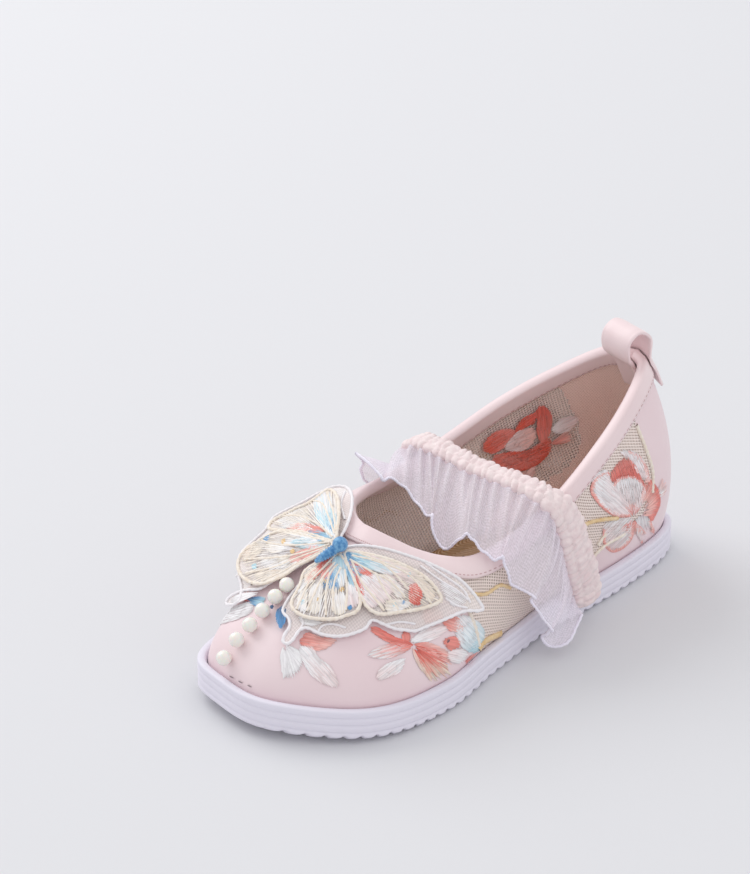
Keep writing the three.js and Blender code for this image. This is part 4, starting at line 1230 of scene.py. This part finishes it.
bm = bmesh.new()
for outline_ in (UNDER_OUTER, UNDER_INNER):
    cord(bm, under_canvas, outline_, 1.15)
for points in ([(420, 566), (442, 582), (456, 590), (468, 600)], [(445, 598), (455, 605), (467, 608)],
               [(425, 563), (447, 578), (463, 590), (470, 603)], [(385, 625), (400, 622), (415, 624)],
               [(318, 633), (322, 626), (333, 624), (346, 628)], [(300, 630), (304, 622), (300, 616)],
               [(236, 577), (244, 571), (252, 585)], [(345, 492), (341, 505), (345, 520)]):
    cord(bm, under_canvas, points, 0.8)
white_cords = mesh_object("under_wing_cords", bm, [white_cord])
dress(white_cords, "wing_cloth")
bm = bmesh.new()
for outline_ in (FORE_OUTER, HIND_OUTER, HIND_INNER, FORE_INNER):
    cord(bm, top_canvas, outline_, 1.3)
VEINS = ([(338, 553), (326, 566), (310, 583), (303, 597), (297, 610)],
         [(335, 563), (322, 580), (314, 596), (307, 612)], [(338, 565), (330, 575), (326, 595), (326, 616)],
         [(341, 568), (334, 585), (333, 612)], [(345, 570), (347, 590), (346, 611)],
         [(350, 560), (373, 573), (390, 582), (405, 598)], [(352, 556), (380, 563), (395, 575), (408, 590)],
         [(352, 562), (360, 580), (372, 596), (384, 611)], [(375, 573), (385, 592), (398, 610)],
         [(360, 554), (390, 566), (412, 578), (431, 604)],
         [(330, 545), (305, 553), (280, 558), (245, 560)], [(328, 548), (300, 558), (275, 568), (246, 574)],
         [(326, 550), (300, 563), (280, 574), (262, 582)], [(330, 543), (300, 546), (275, 545), (262, 541)],
         [(333, 538), (318, 525), (300, 517), (283, 517)], [(335, 535), (328, 515), (322, 504), (314, 502)],
         [(336, 532), (334, 514), (330, 502), (327, 493)])
for points in VEINS:
    cord(bm, top_canvas, points, 0.85, 0.42, pitch=1.8)
cream_cords = mesh_object("upper_wing_cords", bm, [cream_cord])
dress(cream_cords, "wing_cloth")

# %% [markdown]
# The body has a round head, a ribbed back of wound thread and a thin tail. The pearls are
# sewn down the middle of the toe.

# %% Body and pearls
tail_place, head_place = (top_canvas.at(x, y)[0] for x, y in ((319, 566), (339, 554)))
body_x, body_y = (tail_place[:2] + head_place[:2]) / 2
body_turn = math.atan2(tail_place[1] - head_place[1], tail_place[0] - head_place[0])


def wing_height(x, y, above=0.5):
    return under_canvas.below(x, y) - 0.5 + above


slope = math.atan(2 * WING_BEND * (body_x - WING_CREST_X))
body_z = wing_height(body_x, body_y) + LAYER + BODY_WIDTH / 2 + 0.4
tilt = Matrix.Rotation(body_turn, 4, "Z") @ Matrix.Rotation(slope, 4, "Y")
bm = bmesh.new()


def body_skin(u, v):
    run = u * 2 - 1
    ribs = 1 + 0.1 * np.sin(run * 36)
    taper_ = np.sqrt(np.clip(1 - np.abs(run) ** 2.6, 0, 1)) * np.interp(run, (-1, 1), (1, 0.72))
    radius = BODY_WIDTH / 2 * 0.9 * taper_ * ribs
    turn = 2 * np.pi * v
    local = np.column_stack([run * 5.4, radius * np.cos(turn),
                             radius * 0.85 * np.sin(turn)])
    turned = np.array(tilt.to_3x3()) @ local.T
    return turned.T + (body_x, body_y, body_z)


add_sheet(bm, 110, 26, body_skin, (14, 12))
head = Vector((-4.4, 0, 0.4))
head.rotate(tilt)
bmesh.ops.create_uvsphere(bm, u_segments=24, v_segments=16, radius=2.5,
                          matrix=Matrix.Translation(Vector((body_x, body_y, body_z)) + head))
for face in bm.faces:
    face.smooth = True
butterfly_body = mesh_object("butterfly_back", bm, [blue_thread], merge=0.03)
dress(butterfly_body, "thread_blue", "butterfly_body")

bm = bmesh.new()
pearl_places = []
pearl_canvas = Canvas(offset(GRID_S.ravel(), GRID_V.ravel(),
                             np.full(GRID_S.size, PEARL / 2 + GAP)), FINE, LEVELS)
PEARLS_AT = ((223.8, 657.9), (236.4, 639.6), (249.7, 624.7), (262.3, 610.4),
             (275.2, 596.5), (286.8, 584.9))
for x, y in PEARLS_AT:
    place, way = pearl_canvas.at(x, y)
    pearl_places.append(place)
    matrix = Matrix.Translation(place) @ Vector(way).to_track_quat("Z", "Y").to_matrix().to_4x4()
    bmesh.ops.create_uvsphere(bm, u_segments=40, v_segments=24, radius=PEARL / 2, matrix=matrix)
for face in bm.faces:
    face.smooth = True
pearls = mesh_object("toe_pearls", bm, [pearl_finish], merge=0)
print("pearls at", np.round(pearl_places, 1).tolist())
dress(pearls, "pearl", *[f"pearl_{k + 1}" for k in range(PEARL_COUNT)])

# %% [markdown]
# Embroidery is thousands of short threads. Each one is a low ridge, four places long and
# three wide, with its own tint, and all the threads of one motif are joined in one mesh. The
# ends of a thread dip into the cloth, so that neighbouring rows mesh like real satin stitch.

# %% Threads
chance = random.Random(7)
CORAL, DEEP, RUST, ROSE = "f0948a", "e66c60", "ea6450", "f9c8c0"
BLUSH, WHITE, CREAM, GOLD, TAN = "f6e2e2", "f8f5f7", "f6ebdd", "e8c38a", "f1e0d0"
SKY, BLUE, NAVY, DARK = "bfe1ec", "5a9ad0", "3f5f8a", "4a4858"


class Threads:
    def __init__(self, canvas, raised=0.25, mirrored=False, width=0.42):
        self.canvas, self.raised, self.mirrored, self.width = canvas, raised, mirrored, width
        self.places, self.normals, self.tints = [], [], []

    def stitch(self, start, end, first, last, share=(0, 1)):
        """One thread between two picture points; the tint runs from first to last."""
        found = [self.canvas.at(*(start * (1 - t) + end * t), self.mirrored)
                 for t in (0, 1 / 3, 2 / 3, 1)]
        places = np.array([f[0] for f in found])
        if np.linalg.norm(places[0] - places[3]) > 12 or not above_rim(places, 0.4).all():
            return
        fade = np.linspace(share[0], share[1], 4)[:, None] + chance.uniform(-0.3, 0.3)
        shade = chance.uniform(0.84, 1.12)
        fade = np.clip(fade, 0, 1)
        tint = (np.array(first) * (1 - fade) + np.array(last) * fade) * shade
        self.places.append(places)
        self.normals.append([f[1] for f in found])
        self.tints.append(np.clip(tint, 0, 1))

    def run(self, start, end, first, last, longest=12):
        """A long stitch is made of shorter ones that overlap."""
        start, end = np.array(start, float), np.array(end, float)
        length = np.linalg.norm(end - start)
        if length < 0.8:
            return
        pieces = max(1, round(length / longest + chance.uniform(-0.3, 0.3)))
        cuts = [0] + [(k + chance.uniform(-0.25, 0.25)) / pieces for k in range(1, pieces)] + [1]
        for a, b in zip(cuts, cuts[1:]):
            a, b = max(a - 1.2 / length, 0), min(b + 1.2 / length, 1)
            self.stitch(start + (end - start) * a, start + (end - start) * b,
                        first, last, (a, b))

    def fill(self, outline_, way, first, last=None, pitch=0.9, ragged=1.7):
        """Rows of stitches across a closed outline, all in one direction."""
        first, last = colour(first)[:3], colour(last or first)[:3]
        line = rounded(np.array(outline_ + outline_[:1], float), 1.5)
        way = np.array(way, float) / np.linalg.norm(way)
        turn = np.array([[way[0], way[1]], [-way[1], way[0]]])
        flat = line @ turn.T
        for level in np.arange(flat[:, 1].min() + 0.3, flat[:, 1].max(), pitch):
            level += chance.uniform(-0.15, 0.15)
            crossings = []
            for (x0, y0), (x1, y1) in zip(flat, np.roll(flat, -1, 0)):
                if (y0 > level) != (y1 > level):
                    crossings.append(x0 + (x1 - x0) * (level - y0) / (y1 - y0))
            crossings.sort()
            for a, b in zip(crossings[::2], crossings[1::2]):
                a -= chance.uniform(-0.4, ragged)
                b += chance.uniform(-0.4, ragged)
                self.run((a, level) @ turn, (b, level) @ turn, first, last)

    def fan(self, node, arc, first, last=None, pitch=1.3, start=0.12):
        """Stitches that spread from one node to an arc."""
        first, last = colour(first)[:3], colour(last or first)[:3]
        node = np.array(node, float)
        for point in rounded(np.array(arc, float), pitch):
            begin = start + chance.uniform(0, 0.25)
            self.run(node + (point - node) * begin,
                     node + (point - node) * chance.uniform(0.9, 1.04), first, last)

    def rim(self, line, centre, depth, first, last=None, pitch=0.9):
        """Long and short stitches from an edge toward the middle of a petal."""
        first, last = colour(first)[:3], colour(last or first)[:3]
        centre = np.array(centre, float)
        for point in rounded(np.array(line, float), pitch):
            way = (centre - point) / np.linalg.norm(centre - point)
            self.run(point, point + way * depth * chance.uniform(0.55, 1.25), first, last)

    def dot(self, x, y, radius, tint):
        ring = [(x + radius * math.cos(a), y + radius * math.sin(a))
                for a in np.arange(8) * math.pi / 4]
        self.fill(ring, (1, 0.4), tint, pitch=0.8, ragged=0.2)

    def arrays(self):
        places, normals = np.array(self.places), unit(np.array(self.normals))
        tangent = unit(np.gradient(places, axis=1) + 1e-9)
        side = unit(np.cross(tangent, normals))
        lift_ = np.array((-0.1, 1, 1, -0.1))[None, :, None] * self.width * 0.45
        base = places + normals * (self.raised + lift_ * 0.4)
        slim = np.array((0.55, 1, 1, 0.55))[None, :, None] * self.width / 2
        made = np.stack([base - side * slim, base + normals * (self.width * 0.32),
                         base + side * slim], 2)
        return made, np.repeat(np.array(self.tints)[:, :, None], 3, 2)


def thread_object(name, groups):
    parts = [group.arrays() for group in groups if group.places]
    points = np.concatenate([p[0] for p in parts])
    tints = np.concatenate([p[1] for p in parts]).reshape(-1, 3)
    quad = np.array([(i * 3 + j, i * 3 + j + 1, i * 3 + j + 4, i * 3 + j + 3)
                     for i in range(3) for j in range(2)])
    faces = (np.arange(len(points))[:, None, None] * 12 + quad).reshape(-1, 4)
    mesh = bpy.data.meshes.new(name)
    mesh.from_pydata((points.reshape(-1, 3) * MM).tolist(), [], faces.tolist())
    layer = mesh.color_attributes.new("thread", "FLOAT_COLOR", "POINT")
    layer.data.foreach_set("color", np.column_stack([tints, np.ones(len(tints))]).ravel())
    mesh.shade_smooth()
    mesh.materials.append(thread.material)
    obj = bpy.data.objects.new(name, mesh)
    bpy.context.collection.objects.link(obj)
    print(name, len(points), "stitches")
    return obj


# %% [markdown]
# The toe carries a spray of coral and white flowers. The same spray is sewn in mirror
# image on the other side of the shoe.


# %% Flowers on the toe
def vamp_flowers(t):
    t.fill([(411, 641), (420, 632), (435, 626), (446, 628), (440, 636), (425, 642)], (1, -0.4),
           WHITE, BLUSH)
    t.fan((411, 645), [(427, 642), (440, 647), (450, 655), (451, 664)], CORAL, ROSE)
    t.fan((411, 645), [(451, 668), (449, 676), (444, 683), (436, 682), (428, 679)], DEEP, TAN)
    t.fan((411, 645), [(428, 676), (421, 670), (416, 662)], ROSE, TAN)
    t.fan((411, 645), [(440, 650), (447, 655), (449, 664), (447, 672)], DEEP, CORAL, 2)
    t.fill([(371, 629), (376, 627), (395, 637), (411, 643), (405, 648), (388, 642), (375, 635)],
           (1, 0.4), CORAL, DEEP)
    t.fill([(411, 645), (398, 642), (385, 645), (372, 651), (369, 656), (383, 659), (398, 655),
            (408, 650)], (-1, 0.3), CORAL, WHITE)
    t.fill([(403, 641), (402, 634), (408, 632), (410, 641)], (0.2, 1), CORAL)
    t.fill([(404, 659), (395, 661), (383, 666), (377, 675), (379, 680), (390, 677), (400, 671)],
           (-1, 0.7), WHITE, BLUSH)
    t.fill([(455, 618), (466, 616), (478, 622), (484, 632), (481, 645), (470, 651), (460, 645),
            (455, 632)], (1, 1), WHITE, "dcedf3")
    t.fill([(472, 643), (480, 639), (483, 645), (476, 652), (468, 651)], (1, -0.5), SKY)
    t.fill([(443, 622), (455, 617), (463, 624), (460, 632), (448, 630)], (1, 0.4), CORAL, ROSE)
    t.fill([(444, 640), (456, 637), (459, 645), (450, 650)], (1, 0.2), CORAL)
    t.dot(448, 641, 2, DARK)
    t.fill([(483, 650), (480, 660), (475, 668), (466, 672), (466, 660), (473, 654)], (-1, 1),
           CORAL, DEEP)
    t.fill([(448, 652), (462, 649), (466, 655), (458, 663), (450, 661)], (1, 0.2), BLUSH, WHITE)
    t.fill([(423, 612), (438, 609), (441, 619), (426, 623)], (1, -0.3), CORAL, ROSE)
    t.fan((284, 643), [(280, 660), (284, 678), (294, 677), (302, 666), (301, 652)], WHITE)
    t.fill([(300, 648), (312, 647), (319, 658), (331, 668), (338, 686), (320, 682), (305, 666)],
           (1, 1.1), WHITE, BLUSH)
    t.fill([(300, 643), (308, 633), (320, 637), (335, 640), (330, 646), (318, 651), (308, 648)],
           (1, 0.2), CORAL, ROSE)


def peony(t):
    t.fill([(592, 480), (605, 470), (613, 485), (625, 500), (632, 513), (617, 516), (604, 508),
            (597, 500)], (1, 0.85), WHITE, BLUSH)
    t.fill([(620, 453), (628, 450), (640, 456), (646, 468), (650, 482), (638, 474), (630, 460)],
           (0.5, 1), WHITE, BLUSH)
    t.fill([(612, 485), (620, 478), (635, 477), (643, 485), (645, 495), (640, 508), (633, 514),
            (620, 500)], (0.2, 1), WHITE, BLUSH)
    t.fill([(607, 522), (630, 518), (633, 533), (625, 545), (612, 548), (605, 540), (602, 530)],
           (-1, 1), WHITE, BLUSH)
    t.fill([(636, 518), (650, 518), (653, 533), (647, 541), (640, 541), (636, 530)], (0.2, 1),
           WHITE, BLUSH)
    t.rim([(607, 471), (599, 474), (592, 481), (590, 492), (597, 503), (606, 512), (617, 517),
           (630, 517)], (622, 498), 5, CORAL, ROSE)
    t.rim([(628, 450), (640, 456), (647, 468), (650, 481)], (630, 486), 5, CORAL, ROSE)
    t.fill([(612, 482), (611, 473), (620, 461), (632, 460), (639, 474), (643, 484), (632, 477),
            (620, 478)], (0.3, 1), CORAL, DEEP)
    t.rim([(612, 484), (620, 477), (634, 476), (644, 485)], (630, 505), 3.5, CORAL, ROSE)
    t.fan((636, 516), [(644, 482), (651, 482), (658, 490), (660, 503), (655, 515)], ROSE, CORAL,
          1.0, 0.3)
    t.rim([(650, 479), (658, 489), (660, 503), (655, 516), (651, 523)], (640, 505), 6, DEEP, CORAL)
    t.rim([(602, 529), (603, 544), (611, 552), (622, 549), (632, 538), (635, 521)], (620, 529),
          4, CORAL, ROSE)
    t.rim([(651, 520), (654, 531), (650, 541), (641, 543)], (640, 524), 4, CORAL, ROSE)
    t.fan((633, 517), [(622, 504), (630, 500), (641, 505)], DEEP, ROSE, 1.4, 0.1)
    t.fan((633, 518), [(618, 530), (628, 536), (646, 534)], DEEP, ROSE, 1.6, 0.1)
    t.fan((655, 498), [(662, 478), (666, 486), (665, 494)], WHITE, ROSE, 1.5, 0.2)


def back_of_peony(t):
    t.fill([(481, 448), (482, 440), (490, 431), (503, 426), (513, 430), (505, 440), (500, 447),
            (490, 452)], (1, -0.6), RUST, CORAL)
    t.fill([(502, 445), (510, 433), (522, 426), (531, 427), (533, 436), (525, 446), (512, 450)],
           (1, -0.5), BLUSH, ROSE)
    t.fill([(512, 430), (518, 418), (527, 412), (534, 410), (532, 420), (525, 424), (518, 428)],
           (1, -0.7), RUST, DEEP)
    t.fill([(533, 410), (540, 403), (548, 409), (550, 420), (547, 432), (540, 441), (534, 430),
            (535, 418)], (0.1, 1), DEEP, CORAL)
    t.fill([(490, 455), (505, 450), (525, 448), (545, 436), (547, 450), (535, 462), (515, 468),
            (495, 466)], (1, -0.4), CORAL, RUST, 1.1)
    t.rim([(490, 457), (500, 468), (516, 470), (534, 464), (546, 452)], (520, 450), 8, RUST, CORAL)
    t.fan((545, 444), [(566, 427), (570, 433), (568, 439)], CORAL, ROSE)
    t.fill([(550, 428), (556, 418), (568, 413), (576, 416), (570, 426), (558, 431)], (1, -0.5),
           WHITE, BLUSH)
    t.fill([(503, 464), (520, 470), (532, 464), (530, 475), (516, 484), (505, 478)], (-1, 1),
           ROSE, BLUSH)


groups = []
for other in (False, True):
    outside = Threads(upper_canvas, 0.2, other)
    vamp_flowers(outside)
    peony(outside)
    inner_face = Threads(upper_canvas, WALL + 0.25, other)
    back_of_peony(inner_face)
    groups += [outside, inner_face]
toe_side = Threads(upper_canvas, 0.2)
toe_side.fill([(231, 595), (236, 588), (248, 591), (254, 600), (244, 601)], (1, 0.3), CORAL)
toe_side.fill([(248, 601), (256, 597), (265, 599), (258, 607)], (1, 0.2), BLUE, SKY)
toe_side.fill([(212, 613), (222, 601), (236, 606), (251, 602), (252, 612), (236, 620),
               (218, 624)], (1, -0.3), WHITE)
for start, end in (((216, 668), (219, 670)), ((222, 672), (226, 674)), ((230, 676), (234, 678)),
                   ((239, 681), (243, 683)), ((248, 685), (252, 687))):
    toe_side.run(start, end, colour("8d7a80")[:3], colour("b5a3a8")[:3])
seam = Threads(upper_canvas, 0.06, width=0.3)
for side_, far in ((1, TAPE_FAR), (-1, -WALL - TAPE_FAR)):
    for start in np.arange(0, 2, 2 / 190):
        stations = start + np.linspace(0, 0.6, 4) * 2 / 190
        starts = tape_start(stations, TAPE_WIDTH)
        shares = starts + (1 - starts) * 0.14
        place, _, normal = surface(stations, shares)
        seam.places.append(place + normal * far)
        seam.normals.append(normal * side_)
        seam.tints.append(np.tile(colour("cfa6a8")[:3], (4, 1)))
flowers = thread_object("sewn_flowers", groups + [toe_side, seam])
dress(flowers, "satin")

# %% [markdown]
# The cells of the wings are filled with satin stitch: sky blue and white near the body,
# coral strokes from the root, cream at the rim, and a few small dots.

# %% Stitches on the wings
t = Threads(top_canvas, 0.02, width=0.34)
for root, arc, first, last in (
        ((341, 552), FORE_OUTER[1:13], BLUSH, CREAM), ((339, 552), HIND_OUTER[1:12], CREAM, WHITE),
        ((331, 546), HIND_INNER[2:17], WHITE, CREAM), ((335, 541), FORE_INNER[3:15], WHITE, CREAM)):
    t.fan(root, arc, first, last, 2.7, 0.35)
for root, arc, first, last in (
        ((341, 551), [(352, 592), (358, 580), (368, 572), (376, 562)], BLUE, SKY),
        ((340, 552), [(322, 588), (330, 592), (338, 590)], SKY, BLUE),
        ((336, 541), [(322, 516), (328, 508), (335, 508)], BLUE, SKY),
        ((333, 545), [(300, 541), (302, 548), (306, 552)], SKY, WHITE)):
    t.fan(root, arc, first, last, 1.5, 0.15)
t.raised, t.width = 0.12, 0.4
for outline_, way, first, last in (
        ([(349, 553), (365, 556), (385, 562), (401, 569), (395, 575), (375, 572), (358, 563)],
         (1, 0.35), SKY, WHITE),
        ([(351, 560), (371, 573), (371, 579), (350, 567)], (1, 0.7), DEEP, CORAL),
        ([(349, 570), (355, 572), (365, 594), (360, 597)], (0.4, 1), CORAL, DEEP),
        ([(343, 555), (351, 554), (353, 573), (346, 573)], (0.1, 1), BLUE, SKY),
        ([(360, 577), (378, 576), (392, 587), (386, 600), (370, 608), (361, 598)],
         (1, 1), WHITE, BLUSH),
        ([(380, 575), (392, 578), (404, 592), (398, 598), (389, 588)], (1, 0.8), CREAM, WHITE),
        ([(409, 588), (416, 583), (422, 592), (419, 604), (410, 603)], (0.3, 1), CORAL, DEEP),
        ([(386, 602), (398, 600), (410, 604), (400, 611), (388, 612)], (1, 0.1), CREAM, WHITE),
        ([(414, 576), (425, 582), (435, 595), (427, 601), (422, 588)], (1, 1), CREAM, TAN),
        ([(333, 560), (345, 560), (346, 583), (336, 585)], (0.1, 1), SKY, WHITE),
        ([(332, 597), (345, 596), (345, 613), (334, 613)], (0.1, 1), WHITE, CREAM),
        ([(347, 585), (356, 588), (358, 604), (348, 606)], (0.2, 1), WHITE, BLUSH),
        ([(338, 554), (312, 582), (307, 578), (333, 552)], (-1, 1), DEEP, CORAL),
        ([(336, 566), (328, 580), (321, 577), (331, 564)], (-0.6, 1), CORAL, ROSE),
        ([(306, 575), (312, 569), (319, 570), (314, 581), (306, 583)], (1, 1), TAN, CREAM),
        ([(298, 599), (303, 590), (308, 593), (305, 611), (298, 608)], (-0.3, 1), CREAM, WHITE),
        ([(310, 592), (318, 584), (323, 588), (319, 612), (310, 611)], (-0.2, 1), WHITE, CREAM),
        ([(291, 557), (293, 564), (310, 559), (324, 551), (318, 545), (305, 549)],
         (-1, 0.4), CORAL, ROSE),
        ([(290, 543), (305, 538), (319, 541), (318, 547), (303, 549)], (-1, 0.1), WHITE, SKY),
        ([(262, 562), (275, 556), (290, 557), (288, 566), (270, 570)], (-1, 0.4), CREAM, WHITE),
        ([(255, 576), (270, 571), (286, 571), (283, 578), (268, 582)], (-1, 0.3), TAN, CREAM),
        ([(245, 551), (256, 545), (263, 550), (256, 558), (245, 561)], (-1, 0.6), CREAM, TAN),
        ([(268, 545), (282, 546), (286, 551), (270, 553)], (-1, 0.1), WHITE, CREAM),
        ([(280, 522), (290, 514), (307, 509), (308, 524), (295, 529), (282, 528)],
         (1, -0.3), WHITE, CREAM),
        ([(316, 500), (326, 494), (332, 500), (332, 526), (320, 524), (314, 508)],
         (0.1, 1), WHITE, SKY),
        ([(324, 514), (336, 513), (337, 537), (327, 535)], (0.2, 1), SKY, WHITE),
        ([(288, 529), (300, 524), (321, 528), (321, 534), (300, 533)], (1, 0.1), ROSE, CORAL),
        ([(305, 534), (318, 531), (331, 538), (320, 542)], (1, 0.2), BLUE, SKY)):
    t.fill(outline_, way, first, last)
t.raised = 0.4
for x, y, radius, tint in ((409, 575, 2.6, SKY), (394, 605, 2.4, SKY), (403, 603, 2.4, BLUE),
                           (303, 603, 2.8, SKY), (350, 608, 2.6, BLUE), (255, 567, 3, SKY),
                           (267, 539, 3.4, BLUE), (284, 542, 2.8, GOLD), (293, 552, 2.6, GOLD),
                           (326, 582, 2.6, GOLD), (342, 590, 2.6, GOLD), (318, 600, 2, GOLD)):
    t.dot(x, y, radius, tint)
low_threads = Threads(under_canvas, 0.1)
low_threads.fill([(276, 612), (284, 607), (286, 619), (280, 629)], (-0.2, 1), NAVY, BLUE)
low_threads.dot(272, 607, 2.2, NAVY)
low_threads.fan((262, 592), [(238, 594), (232, 598), (230, 603), (236, 604)], WHITE)
low_threads.fill([(440, 584), (455, 589), (466, 600), (452, 606)], (1, 0.6), WHITE, pitch=1.5)
low_threads.fill([(300, 617), (312, 620), (322, 622), (312, 626), (303, 624)], (1, 0.2), WHITE)
wing_stitches = thread_object("wing_stitches", [t, low_threads])
dress(wing_stitches, "wing_cloth")

# %% [markdown]
# A cream cord covers the joint of satin and net, and gold stems lead to the flowers.

# %% Cords on the sides
bm = bmesh.new()
gold = bmesh.new()
for other in (False, True):
    cord(bm, upper_canvas, NET_EDGE[:9], 1.4, 0.2, other)
    cord(bm, upper_canvas, NET_EDGE[-4:], 1.4, 0.2, other)
    cord(bm, upper_canvas, [(597, 545), (601, 539), (605, 533)], 1.4, 0.25, other)
    for points, width in (([(478, 649), (484, 641), (500, 633), (514, 626)], 2.2),
                          ([(486, 657), (500, 648), (520, 635), (548, 612)], 1.3),
                          ([(474, 594), (486, 594), (500, 585), (510, 588)], 1.2),
                          ([(580, 527), (590, 522), (605, 519), (617, 518)], 1.5),
                          ([(462, 600), (470, 596), (478, 600)], 1.1)):
        cord(gold, upper_canvas, points, width, 0.25, other)
border_cords = mesh_object("cream_border_cords", bm, [cream_cord])
dress(border_cords, "satin")
gold_stems = mesh_object("gold_stems", gold, [gold_cord])
dress(gold_stems, "satin")

# %% [markdown]
# The floor and the light belong to the studio, not to the shoe. A large soft lamp stands
# high on the left, the world fills the shadows, and the floor is plain and pale.

# %% Studio
floor_finish = Finish("studio_floor", Base_Color="dedee1", Roughness=0.9)
bm = bmesh.new()
bmesh.ops.create_grid(bm, x_segments=1, y_segments=1, size=4000)
floor = mesh_object("studio_floor", bm, [floor_finish], merge=0)


def lamp(name, place, size, power):
    light = bpy.data.lights.new(name, "AREA")
    light.shape, light.size, light.energy = "DISK", size, power
    made = bpy.data.objects.new(name, light)
    made.location = place
    made.rotation_euler = (-Vector(place)).to_track_quat("-Z", "Y").to_euler()
    bpy.context.collection.objects.link(made)


lamp("window_lamp", tuple(LEVEL * -1.0 + np.array((0, 0, 1.7)) - BACK * 1.0), 1.5, 12)
lamp("fill_lamp", tuple(LEVEL * 1.2 + np.array((0, 0, 1.0)) + BACK * 0.6), 1.6, 2.5)
world = bpy.data.worlds.new("studio")
world.use_nodes = True
world.node_tree.nodes["Background"].inputs[0].default_value = (0.98, 0.985, 1, 1)
world.node_tree.nodes["Background"].inputs[1].default_value = 0.82
bpy.context.scene.world = world
bpy.context.scene.view_settings.view_transform = "Standard"
